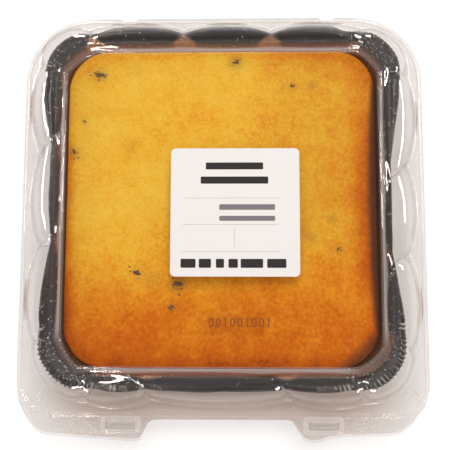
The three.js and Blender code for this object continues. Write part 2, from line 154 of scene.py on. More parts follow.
def band(inner, outer, count):
    """Quads between two rings of equal count, facing up when the inner ring lies within the outer."""
    i = np.arange(count)
    j = (i + 1) % count
    return np.stack([inner + i, outer + i, outer + j, inner + j], axis=1)


def loft(sections):
    """A closed solid through sections of equal count, with a flat cap at both ends."""
    count = len(sections[0])
    last = (len(sections) - 1) * count
    sides = [band(k, k + count, count)[:, ::-1] for k in range(0, last, count)]
    return np.vstack(sections), [range(count)[::-1], range(last, last + count), *np.vstack(sides)]


def ring_surface(rings):
    """Points and faces of a stack of rings closed by a middle point."""
    count = len(rings[0])
    points = np.vstack([rings[0].mean(axis=0)[None], *rings])
    i = np.arange(count)
    fan = np.stack([np.zeros(count, int), 1 + i, 1 + (i + 1) % count], axis=1)
    quads = [band(1 + r * count, 1 + (r + 1) * count, count) for r in range(len(rings) - 1)]
    return points, fan, np.vstack(quads), count


def point_normals(points, triangles, quads):
    split = np.vstack([triangles, quads[:, [0, 1, 2]], quads[:, [0, 2, 3]]])
    a, b, c = (points[split[:, k]] for k in range(3))
    face = np.cross(b - a, c - a)
    normals = np.zeros_like(points)
    for k in range(3):
        np.add.at(normals, split[:, k], face)
    return normals / np.linalg.norm(normals, axis=1)[:, None]


def sheet(rings, thickness):
    """A closed sheet of even thickness below a stack of rings."""
    points, fan, quads, count = ring_surface(rings)
    lower = points - thickness * point_normals(points, fan, quads)
    size = len(points)
    under = [*(fan[:, ::-1] + size), *(quads[:, ::-1] + size)]
    edge = band(size - count, 2 * size - count, count)
    return np.vstack([points, lower]), [*fan, *quads, *under, *edge]


def mark_points(obj, name, values):
    """Gives a mesh's points a number each, for its material."""
    attribute = obj.data.attributes.new(name, "FLOAT", "POINT")
    attribute.data.foreach_set("value", np.asarray(values, np.float32))


# How tightly a sheet bends, in 1/mm, where the painted highlight on its bends starts, and where it is full.
BEND_STARTS = 0.22
BEND_FULL = 1.1


def mark_bends(obj, points, faces):
    """Writes where a sheet bends tightly to the attribute "bend"."""
    corners = [[f[k], f[(k + 1) % len(f)], f[k - 1]] for f in faces for k in range(len(f))]
    corner, after, before = np.array(corners).T
    turn = np.cross(points[after] - points[corner], points[before] - points[corner])
    normals = np.zeros_like(points)
    np.add.at(normals, corner, turn)
    normals /= np.maximum(np.linalg.norm(normals, axis=1), 1e-9)[:, None]
    length = np.maximum(np.linalg.norm(points[after] - points[corner], axis=1), 0.15)
    bend = np.linalg.norm(normals[after] - normals[corner], axis=1) / length
    tightest = np.zeros(len(points))
    np.maximum.at(tightest, corner, bend)
    np.maximum.at(tightest, after, bend)
    mark_points(obj, "bend", smoothstep(BEND_STARTS, BEND_FULL, tightest))


def smooth_path(knots, steps):
    """A Catmull-Rom curve through rows of numbers, with so many steps between two of them."""
    knots = np.asarray(knots, float)
    padded = np.vstack([2 * knots[0] - knots[1], knots, 2 * knots[-1] - knots[-2]])
    rows = []
    for k in range(len(knots) - 1):
        a, b, c, d = padded[k : k + 4]
        for t in np.arange(steps) / steps:
            square, cube = 2 * a - 5 * b + 4 * c - d, 3 * b - a - 3 * c + d
            rows.append(0.5 * (2 * b + (c - a) * t + square * t**2 + cube * t**3))
    rows.append(knots[-1])
    return np.array(rows)


def join_parts(parts):
    """One list of points and one of faces out of several closed meshes."""
    points, faces, offset = [], [], 0
    for part_points, part_faces in parts:
        points.append(part_points)
        faces.extend(np.asarray(f) + offset for f in part_faces)
        offset += len(part_points)
    return np.vstack(points), faces


def smoothstep(low, high, value):
    t = np.clip((value - low) / (high - low), 0, 1)
    return t * t * (3 - 2 * t)


# ---- Scalloped clamshell ----


def on_side(side, along, out):
    """A place outside the window's left, front, right or back edge."""
    edge = WINDOW_HALF + out
    return ((-edge, along), (along, -edge), (edge, along), (along, edge))[side]


def creases():
    """Each crease's start and foot, and the sag of the lobe that it begins."""
    rows = []
    for side, (middle_out, sag, pairs) in enumerate(SIDES):
        for k, (start, foot) in enumerate(pairs):
            last = k == len(pairs) - 1
            foot_at = on_side(side, foot, CORNER_FOOT_OUT if k == 0 or last else middle_out)
            rows.append((on_side(side, start, 0), foot_at, CORNER_LOBE_SAG if last else sag))
    starts, feet, sags = zip(*rows)
    return np.array(starts, float), np.array(feet, float), sags


CREASE_STARTS, CREASE_FEET, LOBE_SAGS = creases()

# Where the creases pass the tray's rim.
CREASES_AT_RIM = CREASE_STARTS + 0.85 * (CREASE_FEET - CREASE_STARTS)

# The creases are rounded grooves. They deepen below the window's edge and fade above the flange, each
# between two heights.
LOBE_FULLNESS = 0.85
GROOVE_DEPTH = 1.3
GROOVE_WIDTH = 2.0
GROOVE_DEEPENS = (47.3, 45.6)
GROOVE_FADES = (28.4, 34.0)


def scallop_ring(out, swell, corner_swell, z):
    """A ring of the wall: the creases lie `out` from the window's edge, and the lobes swell between them."""
    corners = CREASE_STARTS + out / FOOT_OUT * (CREASE_FEET - CREASE_STARTS)
    chords = np.roll(corners, -1, axis=0) - corners
    lengths = np.hypot(*chords.T)
    outwards = np.column_stack([chords[:, 1], -chords[:, 0]]) / lengths[:, None]
    # At a crease both lobes sink along the same line.
    inwards = -(outwards + np.roll(outwards, 1, axis=0)) / 2
    depth = GROOVE_DEPTH * smoothstep(*GROOVE_DEEPENS, z) * smoothstep(*GROOVE_FADES, z)
    u = 0.5 - 0.5 * np.cos(np.pi * np.arange(LOBE_STEPS) / LOBE_STEPS)
    rows = []
    for lobe, start in enumerate(corners):
        at_corner = lobe % LOBES_PER_SIDE == LOBES_PER_SIDE - 1
        sag = LOBE_SAGS[lobe] * (corner_swell if at_corner else swell)
        bulge = sag * (4 * u * (1 - u)) ** LOBE_FULLNESS
        near_start = depth * np.exp(-((lengths[lobe] * u / GROOVE_WIDTH) ** 2))
        near_end = depth * np.exp(-((lengths[lobe] * (1 - u) / GROOVE_WIDTH) ** 2))
        xy = start + u[:, None] * chords[lobe] + bulge[:, None] * outwards[lobe]
        xy += near_start[:, None] * inwards[lobe] + near_end[:, None] * inwards[(lobe + 1) % len(corners)]
        rows.append(xy)
    return at_height(np.vstack(rows), z)


def outline_reach(rays, inset):
    """How many times each ray from the flange's middle fits into the flange's outline."""
    half = np.array([FLANGE_HALF_X, (FLANGE_BACK - FLANGE_FRONT) / 2]) - inset
    size = np.abs(rays)
    straight = np.min(half / np.maximum(size, 1e-9), axis=1)
    radius = np.where(rays[:, 1] > 0, BACK_CORNER_RADIUS, FRONT_CORNER_RADIUS) - inset
    corner = half - radius[:, None]
    a = (size**2).sum(axis=1)
    b = -2 * (size * corner).sum(axis=1)
    c = (corner**2).sum(axis=1) - radius**2
    rounded = (-b + np.sqrt(np.maximum(b * b - 4 * a * c, 0))) / (2 * a)
    in_corner = np.all(size * straight[:, None] > corner, axis=1)
    return np.where(in_corner, rounded, straight)


# The hinge is cut through between its three straps, where the flanges' back edge steps in.
HINGE_STRAPS = ((-68.0, -55.5), (-47.0, 52.5), (60.0, 71.5))
HINGE_CUTS = ((-55.5, -47.0), (52.5, 60.0))
HINGE_CUT_DEPTH = 1.1
HINGE_CUT_EDGE = 0.8
BACK_EDGE = 6


def cut_hinge(xy):
    """Steps an outline's back edge in where the hinge is cut through."""
    x = xy[:, 0]
    depth = np.zeros_like(x)
    for low, high in HINGE_CUTS:
        inside = smoothstep(low, low + HINGE_CUT_EDGE, x) * smoothstep(-high, -high + HINGE_CUT_EDGE, -x)
        depth = np.maximum(depth, HINGE_CUT_DEPTH * inside)
    at_back = xy[:, 1] > FLANGE_BACK - BACK_EDGE
    return xy - np.column_stack([np.zeros_like(x), np.where(at_back, depth, 0)])


def flange_ring(ring, inset, z):
    rays = ring[:, :2] - FLANGE_MIDDLE
    return at_height(cut_hinge(rays * outline_reach(rays, inset)[:, None] + FLANGE_MIDDLE), z)


# The grip tabs' free edges, from the middle of the pack outwards.
LEFT_TAB = (
    (-33.0, -106.9), (-36.1, -107.5), (-38.6, -110.4), (-40.7, -115.9), (-42.7, -118.1), (-62.0, -117.0),
    (-82.6, -115.5), (-91.8, -114.9), (-96.8, -111.3), (-101.4, -104.3), (-104.6, -98.2), (-105.7, -89.5),
)
RIGHT_TAB = (
    (34.7, -106.9), (37.2, -108.4), (38.9, -112.9), (41.2, -116.8), (45.2, -118.1), (49.7, -117.7),
    (53.8, -116.2), (63.9, -114.8), (88.0, -114.5), (95.9, -109.5), (99.9, -103.1), (103.7, -99.4),
    (105.7, -89.5),
)


CORNER_CUT = 0.2


def rounded_outline(points):
    """Cuts the corners of an open line, twice over, and keeps its ends."""
    line = np.array(points)
    for _ in range(2):
        near = (1 - CORNER_CUT) * line[:-1] + CORNER_CUT * line[1:]
        far = CORNER_CUT * line[:-1] + (1 - CORNER_CUT) * line[1:]
        line = np.vstack([line[:1], np.stack([near, far], axis=1).reshape(-1, 2), line[-1:]])
    return line


# A tab that is made shorter draws back over this length beyond the flange's front.
TAB_TAPER = 4


def tab_ring(ring, shorter):
    """The flange's outline with the tabs: each ray's furthest reach."""
    rays = ring[:, :2] - FLANGE_MIDDLE
    reach = outline_reach(rays, 0)
    angle = np.arctan2(rays[:, 0], -rays[:, 1])
    for outline in (LEFT_TAB, RIGHT_TAB):
        line = rounded_outline(outline) - FLANGE_MIDDLE
        beyond = np.maximum(0, (FLANGE_FRONT - FLANGE_MIDDLE[1]) - line[:, 1])
        line[:, 1] += shorter * np.minimum(1, beyond / TAB_TAPER)
        line_angle = np.arctan2(line[:, 0], -line[:, 1])
        order = np.argsort(line_angle)
        line, line_angle = line[order], line_angle[order]
        for k in range(len(line) - 1):
            inside = (angle >= line_angle[k]) & (angle < line_angle[k + 1]) & (rays[:, 1] < 0)
            start, run = line[k], line[k + 1] - line[k]
            cross = rays[:, 0] * run[1] - rays[:, 1] * run[0]
            hit = (start[0] * run[1] - start[1] * run[0]) / np.where(np.abs(cross) < 1e-9, 1e-9, cross)
            reach = np.where(inside, np.maximum(reach, hit), reach)
    return np.column_stack([cut_hinge(rays * reach[:, None] + FLANGE_MIDDLE), ring[:, 2]])


# The stiffening bead along the flange's edge: inset from the edge, and height.
BEAD = ((3.2, 0), (2.9, 0.18), (2.55, 0.58), (2.2, 0.8), (1.85, 0.58), (1.5, 0.18), (1.2, 0.0), (0.9, 0.0))
TAB_STEPS = 4


def flange_rings(foot, z, shorter):
    rings = [flange_ring(foot, inset, z + rise) for inset, rise in BEAD]
    lip = rings[-1]
    edge = tab_ring(lip, shorter)
    rings += [lip + (edge - lip) * k / TAB_STEPS for k in range(1, TAB_STEPS + 1)]
    return rings


# Rows of out, swell of a side's lobes, swell of a corner's lobe, and height. Below the window's raised
# edge a lobe falls away sooner in its middle than at its creases, so its swell starts negative.
LID_EDGE = (
    (-3.2, 0, 0.12, 46.70), (-1.5, 0, 0.14, 46.71), (-1.1, 0, 0.15, 46.82), (-0.8, 0, 0.16, 47.10),
    (-0.5, 0, 0.17, 47.40), (-0.1, 0, 0.18, 47.50), (0.5, -0.05, 0.20, 47.44), (2.0, -0.25, 0.22, 47.10),
)
LID_WALL = (
    (2.0, -0.25, 0.22, 47.10), (5.3, -0.70, 0.24, 46.55), (8.6, -0.35, 0.45, 45.0),
    (11.6, 0.20, 0.75, 42.0), (13.4, 0.62, 0.93, 38.1), (14.9, 0.86, 0.98, 33.0), (16.0, 1.0, 1.0, 29.0),
)
LID_FOOT = (
    (16.0, 1.0, 1.0, 29.0), (16.3, 1.0, 1.0, 28.25), (16.7, 1.0, 1.0, 27.93), (17.4, 1.0, 1.0, 27.85),
)
WINDOW_RINGS = (0.25, 0.5, 0.75, 0.93)


def clamshell_half(wall, middle_rings, flange_z, shorter):
    """The flat middle, the wall and the flange of the lid or the base, as one sheet."""
    rings = [scallop_ring(*row) for row in wall]
    middle = [rings[0] * (share, share, 1) for share in middle_rings]
    return sheet([*middle, *rings, *flange_rings(rings[-1], flange_z, shorter)], PLASTIC)


def lid_shell():
    wall = [*smooth_path(LID_EDGE, 3)[:-1], *smooth_path(LID_WALL, 5)[:-1], *smooth_path(LID_FOOT, 2)]
    return clamshell_half(wall, WINDOW_RINGS, LID_FLANGE_Z, 0)


BASE_WALL = (
    (-1.0, 0, 0, 1.10), (1.0, 0.12, 0.12, 1.15), (4.2, 0.42, 0.42, 2.8), (9.5, 0.80, 0.80, 13.0),
    (14.8, 0.97, 0.97, 25.0), (16.2, 1, 1, 26.7), (17.4, 1, 1, 27.0),
)
BASE_TAB_SHORTER = 1.2
FLOOR_RINGS = (0.3, 0.6, 0.9)


def base_shell():
    return clamshell_half(smooth_path(BASE_WALL, 4), FLOOR_RINGS, BASE_FLANGE_Z, BASE_TAB_SHORTER)


def rounded_rectangle(width, height, radius, corner_steps=6):
    """Its outline, against the clock."""
    quarter, step = np.divmod(np.arange(4 * (corner_steps + 1)), corner_steps + 1)
    angle = math.pi / 2 * (quarter + step / corner_steps)
    corner = np.array([(1, 1), (-1, 1), (-1, -1), (1, -1)])[quarter]
    middle = np.array([width, height]) / 2 - radius
    return corner * middle + radius * np.column_stack([np.cos(angle), np.sin(angle)])


def plate(outline, bottom, top, centre=(0, 0)):
    """A flat closed plate with the given outline."""
    return loft([at_height(outline + centre, z) for z in (bottom, top)])


# The pads reach a little into the base's floor.
FOOT_PAD_AT = 62
FOOT_PAD_SIDE = 14
FOOT_PAD_RADIUS = 2.5
FOOT_PAD_TOP = 0.7


def foot_pads():
    outline = rounded_rectangle(FOOT_PAD_SIDE, FOOT_PAD_SIDE, FOOT_PAD_RADIUS)
    places = [(sx * FOOT_PAD_AT, sy * FOOT_PAD_AT) for sx in (-1, 1) for sy in (-1, 1)]
    return [plate(outline, 0, FOOT_PAD_TOP, at) for at in places]


# A snap button's rows from its foot up: inset and height over the tab, then inset and depth under its top.
BUTTON_FOOT = ((-0.9, -0.02), (-0.35, 0.06), (0, 0.3))
BUTTON_TOP = ((0.7, 0.35), (0.95, 0.1), (1.3, 0), (1.8, 0))
BUTTON_RADIUS = 1.6
BUTTON_SHEET = 0.3

# Length, width, height of the tab and height over the tab.
LID_BUTTON = (18.8, 7.0, LID_FLANGE_Z, 2.0)
BASE_BUTTON = (14.6, 4.4, BASE_FLANGE_Z, 1.3)


def buttons(length, width, tab_z, height):
    """A hollow rounded button on each tab."""
    rows = [*BUTTON_FOOT, *((inset, height - below) for inset, below in BUTTON_TOP)]
    parts = []
    for x in (-BUTTON_X, BUTTON_X):
        rings = []
        for inset, rise in reversed(rows):
            radius = max(0.3, BUTTON_RADIUS - 0.55 * inset)
            outline = rounded_rectangle(length - 2 * inset, width - 2 * inset, radius, 5)
            rings.append(at_height(outline + (x, BUTTON_Y), tab_z + rise))
        parts.append(sheet(rings, BUTTON_SHEET))
    return parts


# Condensation under the lid's shoulders: how many drops, and their radii.
DROP_COUNT = 1100
DROP_RADIUS = (0.12, 0.28)

# How many of the drops stay: some anywhere, more in a corner, along the right and at the left front, and a
# fixed few at the right front. A front corner starts where x and y are so far out together.
DROPS_ANYWHERE = 0.12
DROPS_IN_CORNER = 0.6
DROPS_RIGHT = 0.35
DROPS_LEFT_FRONT = 0.3
DROPS_RIGHT_FRONT = 0.18
FRONT_CORNER = 120


def drop_density(x, y):
    if x - y > FRONT_CORNER:
        return DROPS_RIGHT_FRONT
    in_corner = min(abs(x), abs(y)) / 85
    at_right = DROPS_RIGHT if y - x < -40 and x > 80 else 0
    at_left_front = DROPS_LEFT_FRONT if x + y < -FRONT_CORNER else 0
    return DROPS_ANYWHERE + DROPS_IN_CORNER * in_corner**4 + at_right + at_left_front


def drops():
    """Small flattened beads on the lid's inner side."""
    rng = random.Random(11)
    rings = [scallop_ring(*row) for row in smooth_path(LID_WALL, 5)]
    parts = []
    while len(parts) < DROP_COUNT:
        level = rng.randrange(2, len(rings) - 8)
        k = rng.randrange(len(rings[0]))
        here = rings[level][k]
        if rng.random() > drop_density(here[0], here[1]):
            continue
        along = rings[level][(k + 1) % len(rings[0])] - here
        down = rings[level + 1][k] - here
        outward = np.cross(down, along)
        outward /= max(np.linalg.norm(outward), 1e-6)
        size = rng.uniform(*DROP_RADIUS)
        centre = here + rng.random() * along - outward * (PLASTIC + 0.3 * size)
        parts.append(blob(*centre, (size, size, size * 0.8), 0, rng))
    return parts


# ---- Relief on the lid's tabs: knurled patches, dots and ribs ----

LEFT_KNURL = (
    (-75.6, -105.4), (-72.6, -105.3), (-63.0, -112.6), (-63.0, -115.6), (-84.3, -114.2), (-81.7, -110.7),
)
RIGHT_KNURL = (
    (68.1, -105.2), (77.7, -105.0), (79.1, -107.2), (72.9, -114.0), (62.0, -114.2), (64.4, -111.0),
)
LEFT_DOTS = (
    (-98.2, -101.3), (-93.8, -99.9), (-91.0, -102.8), (-91.6, -108.6), (-94.8, -109.8), (-98.4, -105.3),
)
RIGHT_DOTS = (
    (88.2, -106.3), (92.3, -103.2), (98.6, -102.6), (95.6, -107.6), (90.0, -112.2), (84.0, -113.2),
    (85.1, -109.6),
)

# The studs of a patch: pitch, half width and height.
KNURL = (1.42, 0.66, 0.38)
DOTS = (1.0, 0.36, 0.22)
PATCHES = ((LEFT_KNURL, KNURL), (RIGHT_KNURL, KNURL), (LEFT_DOTS, DOTS), (RIGHT_DOTS, DOTS))
STUD_TIP = 0.35
STUD_SUNK = 0.05


def inside_outline(point, outline):
    x, y = point
    inside = False
    for (x1, y1), (x2, y2) in zip(outline, (*outline[1:], outline[0])):
        if (y1 > y) != (y2 > y) and x < x1 + (y - y1) / (y2 - y1) * (x2 - x1):
            inside = not inside
    return inside


def stud(xy, z, half, height):
    """A small four-sided pyramid with a blunt tip."""
    square = np.array([(1, 0), (0, 1), (-1, 0), (0, -1)])
    rows = ((half, z - STUD_SUNK), (half * STUD_TIP, z + height))
    return loft([at_height(square * size + xy, level) for size, level in rows])


def studs_in(outline, pitch, half, height, z):
    """Studs on a diamond lattice inside an outline."""
    low, high = np.min(outline, axis=0), np.max(outline, axis=0)
    reach = int(max(high - low) / pitch) + 2
    middle = (high + low) / 2
    step = pitch / math.sqrt(2)
    lattice = range(-reach, reach + 1)
    places = [middle + ((i + j) * step, (i - j) * step) for i in lattice for j in lattice]
    return [stud(xy, z, half, height) for xy in places if inside_outline(xy, outline)]


RIB_STEPS = 10
RIB_ROUND = np.linspace(0, math.pi, 7)
RIB_SUNK = 0.06


def rib(start, end, z, width, height):
    """A rib with a rounded back, tapering to both ends."""
    start = np.array(start)
    run = np.array(end) - start
    side = np.array([-run[1], run[0]]) / np.hypot(*run)
    sections = []
    for k in range(RIB_STEPS + 1):
        t = k / RIB_STEPS
        swell = max(0.05, math.sin(math.pi * t) ** 0.4)
        xy = start + run * t + width / 2 * swell * np.outer(np.cos(RIB_ROUND), side)
        sections.append(np.column_stack([xy, z - RIB_SUNK + height * swell * np.sin(RIB_ROUND)]))
    return loft(sections)


CORNER_RIB_AT = (95.8, -95.4)
CORNER_RIB_SIZE = (0.95, 0.75)
RIB_LENGTH = 8.0
RIB_SPACING = 2.1
RIB_COUNT = 4

# Single ribs on the tabs: both ends, width and height.
TAB_RIBS = (
    ((-90.2, -101.6), (-86.1, -108.4), 1.0, 0.6), ((89.3, -101.6), (85.9, -107.4), 1.0, 0.6),
    ((-87.1, -101.2), (-84.4, -103.7), 0.8, 0.5), ((86.3, -101.2), (82.7, -104.2), 0.8, 0.5),
)


def corner_ribs(z):
    """Ribs across the bead at both front corners, pointing at the middle of the pack."""
    parts = []
    for side in (-1, 1):
        away, across = np.array([(side, -1), (1, side)]) / math.sqrt(2)
        for k in range(RIB_COUNT):
            from_middle = k - (RIB_COUNT - 1) / 2
            centre = CORNER_RIB_AT * np.array([side, 1]) + across * RIB_SPACING * from_middle
            half = away * RIB_LENGTH * (1 - 0.12 * abs(from_middle)) / 2
            parts.append(rib(centre - half, centre + half, z, *CORNER_RIB_SIZE))
    return parts


def tab_relief(z):
    parts = corner_ribs(z) + [rib(start, end, z, *size) for start, end, *size in TAB_RIBS]
    for outline, studs in PATCHES:
        parts += studs_in(outline, *studs, z)
    return parts


# ---- Rounded squares, for the tray and the bread ----

SIDE_NAMES = ("right", "back", "left", "front")


def rounded_square(half, radius, corner_steps, side_steps):
    """Points round a square with round corners: place, outward direction, share along the side, depth into
    the corner, which is 0 on a side and 1 in the middle of a corner, and the side's number."""
    straight = half - radius
    flat = np.zeros(side_steps)
    share = -1 + 2 * np.arange(side_steps) / side_steps
    angle = math.pi / 2 * np.arange(corner_steps) / corner_steps
    arc = np.column_stack([np.cos(angle), np.sin(angle)])
    at = np.vstack([np.column_stack([flat + half, share * straight]), straight + radius * arc])
    out = np.vstack([np.column_stack([flat + 1, flat]), arc])
    along = np.concatenate([share, np.ones(corner_steps)])
    depth = np.concatenate([flat, np.sin(2 * angle)])
    rows = []
    for quarter in range(4):
        rows.append(np.column_stack([at, out, along, depth, np.full(len(at), quarter)]))
        at, out = (np.column_stack([-p[:, 1], p[:, 0]]) for p in (at, out))
    return np.vstack(rows)


# ---- Foil tray ----

# Rows of half width, corner radius, height, share of the rim reached, and depth of the pleats.
TRAY_PROFILE = (
    (69.3, 10.0, TRAY_FLOOR_Z + FOIL, 0, 0), (71.6, 12.3, TRAY_FLOOR_Z + FOIL + 0.7, 0, 0),
    (72.6, 13.1, TRAY_FLOOR_Z + FOIL + 2.6, 0, 0.05), (76.5, 15.6, 14.0, 0, 0.35),
    (81.1, 18.5, 26.0, 0, 0.6), (84.5, 20.8, 35.2, 0, 0.8), (85.2, 21.2, 37.2, 0.02, 0.9),
    (86.0, 21.7, 38.4, 0.1, 0.9), (87.6, 22.7, 39.0, 0.3, 0.7), (89.6, 23.9, 39.0, 0.55, 0.8),
    (91.4, 25.0, 38.3, 0.8, 1.0), (92.6, 25.7, 37.0, 0.95, 1.0), (93.0, 26.0, 35.6, 1.0, 0.9),
    (92.5, 25.6, 34.7, 1.0, 0.7), (91.6, 25.0, 34.5, 1.0, 0.5),
)
PLEAT_PITCH = 2.3
PLEAT_DEPTH = 0.62
PLEAT_LIFT = 0.55
PLEAT_LIFTS_FROM = (34, 38)
PLEAT_FADE = 26.0
PLEAT_PATCH = 6.1
PLEAT_DRIFT = 0.55
DENT_PUSH = 0.35
DENT_LIFT = 0.25
TRAY_CORNER_STEPS = 150
TRAY_SIDE_STEPS = 130

# The half width from which the rim is its outer turned edge, and those between which the painted highlight
# on its pleats sets in.
RIM_TURNS = 92.9
HIGHLIGHT_FROM = (88.5, 90.5)

# How deep the pleats of each corner are, how much painted silver highlight their ridges get, and how much
# less they get within the corner than beside it. The corners are counted from the right back one,
# against the clock.
PLEATED = (0.45, 0.45, 1.0, 0.9)
PLEAT_HIGHLIGHTS = (0.10, 0.10, 1.0, 0.80)
LESS_HIGHLIGHT_INSIDE = (0.75, 0.75, 0.75, 0.10)


def pleat_wave(phase):
    """A rounded fold with narrow valleys."""
    return 1 - 2 * np.abs(np.sin(phase / 2)) ** 0.7


def pleats(rim):
    """The folds round the rim's corners, and how much painted highlight each point of them gets."""
    steps = np.hypot(*np.diff(np.vstack([rim[:, :2], rim[:1, :2]]), axis=0).T)
    along = np.concatenate([[0], np.cumsum(steps)[:-1]])
    straight = TRAY_RIM_HALF - TRAY_RIM_RADIUS
    from_corner = np.where(rim[:, 5] > 0, 0, (1 - np.abs(rim[:, 4])) * straight)
    fade = 1 - smoothstep(2, PLEAT_FADE, from_corner)
    uneven = np.array([noise.noise(Vector((s / PLEAT_PATCH, 0.3, 1.7))) for s in along])
    phase = 2 * math.pi * (along / PLEAT_PITCH + PLEAT_DRIFT * uneven)
    corner = np.where(rim[:, 1] > 0, np.where(rim[:, 0] > 0, 0, 1), np.where(rim[:, 0] < 0, 2, 3))
    wave = pleat_wave(phase) * fade * (0.8 + 0.7 * np.abs(uneven)) * np.array(PLEATED)[corner]
    inside = 1 - np.array(LESS_HIGHLIGHT_INSIDE)[corner] * smoothstep(0, 0.2, rim[:, 5])
    pleat_highlight = fade * np.array(PLEAT_HIGHLIGHTS)[corner] * smoothstep(-0.1, 0.4, wave) * inside
    return wave, pleat_highlight


def by_side(table, rim):
    """A table's value for the side that each point of the rim counts to."""
    return np.array([table[name] for name in SIDE_NAMES])[rim[:, 6].astype(int)]


def rim_flare(rim):
    """The rim's reach into the lobes, nothing at the creases."""
    flare = np.zeros(len(rim))
    for quarter, name in enumerate(SIDE_NAMES):
        # The creases are counted from the left side, half way round.
        first = (quarter + 2) % 4 * LOBES_PER_SIDE
        axis = 1 - quarter % 2
        places = np.sort(CREASES_AT_RIM[first : first + LOBES_PER_SIDE, axis])
        inside = (rim[:, 6] == quarter) & (rim[:, 5] == 0)
        for low, high in zip(places, places[1:]):
            u = np.clip((rim[:, axis] - low) / (high - low), 0, 1)
            flare += np.where(inside, RIM_FLARE[name] * (4 * u * (1 - u)) ** 0.8, 0)
    from_corner = np.where(rim[:, 5] > 0, 0, 1 - np.abs(rim[:, 4]))
    return flare * smoothstep(0, 0.16, from_corner) + CORNER_FLARE * smoothstep(0, 0.9, rim[:, 5])


def back_dents(rim):
    """How far the dome's creases press the back of the rim in."""
    dents = sum(depth * np.exp(-(((rim[:, 0] - at) / RIM_DENT_WIDTH) ** 2)) for at, depth in RIM_DENTS)
    return np.where(rim[:, 1] > TRAY_RIM_HALF - 5, dents, 0)


def foil_dents(rim):
    """The foil's broad and small unevenness."""
    return np.array([
        noise.noise(Vector((x / 21, y / 21, 3.1))) + 0.5 * noise.noise(Vector((x / 8, y / 8, 7.7)))
        for x, y in rim[:, :2]
    ])


# The painted brown reflection of the bread on the foil ends so far out, where the black of the rim starts;
# towards a crease it reaches further.
REFLECTION_END = {"left": 84.2, "front": 85.6, "right": 84.2, "back": 84.6}
REFLECTION_AT_CREASE = {"left": 1.3, "front": 3.2, "right": 1.6, "back": 5.0}
REFLECTION_LENGTH = 8.0
REFLECTION_SOFT = 1.2


def crease_distance(rim):
    """How far each point of the rim is from the nearest middle crease, or from any crease of the back."""
    back = 3 * LOBES_PER_SIDE
    kept = [k for k in range(len(CREASES_AT_RIM)) if k >= back or k % LOBES_PER_SIDE in (1, 2)]
    away = rim[:, None, :2] - CREASES_AT_RIM[kept]
    return np.min(np.hypot(away[..., 0], away[..., 1]), axis=1)


def reflection_limit(rim):
    """Half width up to which the foil gets the painted reflection of the bread."""
    near_crease = smoothstep(REFLECTION_LENGTH, 0, crease_distance(rim))
    return by_side(REFLECTION_END, rim) + by_side(REFLECTION_AT_CREASE, rim) * near_crease


def tray_shell():
    """The tray, and how much painted reflection of the bread and painted silver highlight each of its points
    gets.
    """
    rim = rounded_square(TRAY_RIM_HALF, TRAY_RIM_RADIUS, TRAY_CORNER_STEPS, TRAY_SIDE_STEPS)
    wave, pleat_highlight = pleats(rim)
    dent = foil_dents(rim)
    set_in = by_side(TRAY_SET_IN, rim)
    pressed = back_dents(rim) - rim_flare(rim)
    limit = reflection_limit(rim + (*TRAY_CENTRE, 0, 0, 0, 0, 0))
    outer = False
    rings, painted_reflection, highlight = [], [[1]], [[0]]
    for half, radius, z, share, pleat in smooth_path(TRAY_PROFILE, 3):
        row = rounded_square(half, radius, TRAY_CORNER_STEPS, TRAY_SIDE_STEPS)
        bow = np.where(row[:, 5] > 0, 0, share * set_in * (1 - row[:, 4] ** 2)) + share * pressed
        push = pleat * PLEAT_DEPTH * wave - bow + DENT_PUSH * share * dent
        lift = pleat * PLEAT_LIFT * wave * smoothstep(*PLEAT_LIFTS_FROM, z) + DENT_LIFT * share * dent
        xy = row[:, :2] + push[:, None] * row[:, 2:4] + TRAY_CENTRE
        rings.append(np.column_stack([xy, z + lift]))
        outer = outer or half > RIM_TURNS
        painted_reflection.append(np.zeros(len(rim)) if outer else smoothstep(limit + REFLECTION_SOFT, limit - REFLECTION_SOFT, half))
        highlight.append(pleat_highlight * smoothstep(*HIGHLIGHT_FROM, half))
    points, faces = sheet(rings, FOIL * 0.6)
    painted_reflection, highlight = np.concatenate(painted_reflection), np.concatenate(highlight)
    return points, faces, np.concatenate([painted_reflection, np.zeros_like(painted_reflection)]), np.concatenate([highlight, highlight])


# ---- Bread ----

# Rows of inset from the widest outline and height under the crown.
BREAD_PROFILE = (
    (79.5, 0.0), (70, 0.02), (58, 0.1), (46, 0.22), (36, 0.4), (27, 0.6), (18, 0.9), (12, 1.25), (8, 1.6),
    (5, 2.1), (3, 2.6), (1.5, 3.2), (0.6, 3.8), (0.1, 4.4), (0, 5.0),
)
CRUST_INSETS, CRUST_DROPS = zip(*BREAD_PROFILE[::-1])
BREAD_BOTTOM_Z = TRAY_FLOOR_Z + FOIL + GAP
BREAD_CORNER_STEPS = 32
BREAD_SIDE_STEPS = 96
BREAD_TOP_RADIUS = 21
BREAD_RING_STEP = 1.3
EDGE_INSETS = (0, 0.1, 0.3, 0.6, 1.0, 1.5, 2.1, 2.8, 3.6, 4.5)

# The bread below its widest outline: half width, corner radius, height, and how much longer it is.
BREAD_SIDE = (
    (79.9, 20.4, 29.0, 2.0), (77.2, 17.4, 20.0, 1.4), (73.8, 14.4, 9.5, 0.5), (71.4, 12.2, 4.4, 0),
    (70.7, 11.6, 3.0, 0), (69.0, 9.6, BREAD_BOTTOM_Z, 0),
)


def crust_drop(inset):
    """How far the crust lies under its crown, so far in from its edge."""
    return np.interp(inset, CRUST_INSETS, CRUST_DROPS)


def crust_wave(x, y):
    return 0.22 * np.sin(x / 17 + 1.1) * np.cos(y / 23 - 0.4) + 0.14 * np.sin((x - y) / 11)


def crust_relief(x, y):
    """Fine unevenness of the crust: shallow dimples."""
    broad = noise.noise(Vector((x / 9.0, y / 9.0, 0.5)))
    small = noise.noise(Vector((x / 3.4, y / 3.4, 4.5)))
    return 0.12 * broad + 0.08 * small


def bread_ring(half, radius, longer=BREAD_LONGER):
    ring = rounded_square(half, radius, BREAD_CORNER_STEPS, BREAD_SIDE_STEPS)[:, :2]
    return ring * (1, 1 + longer / half)


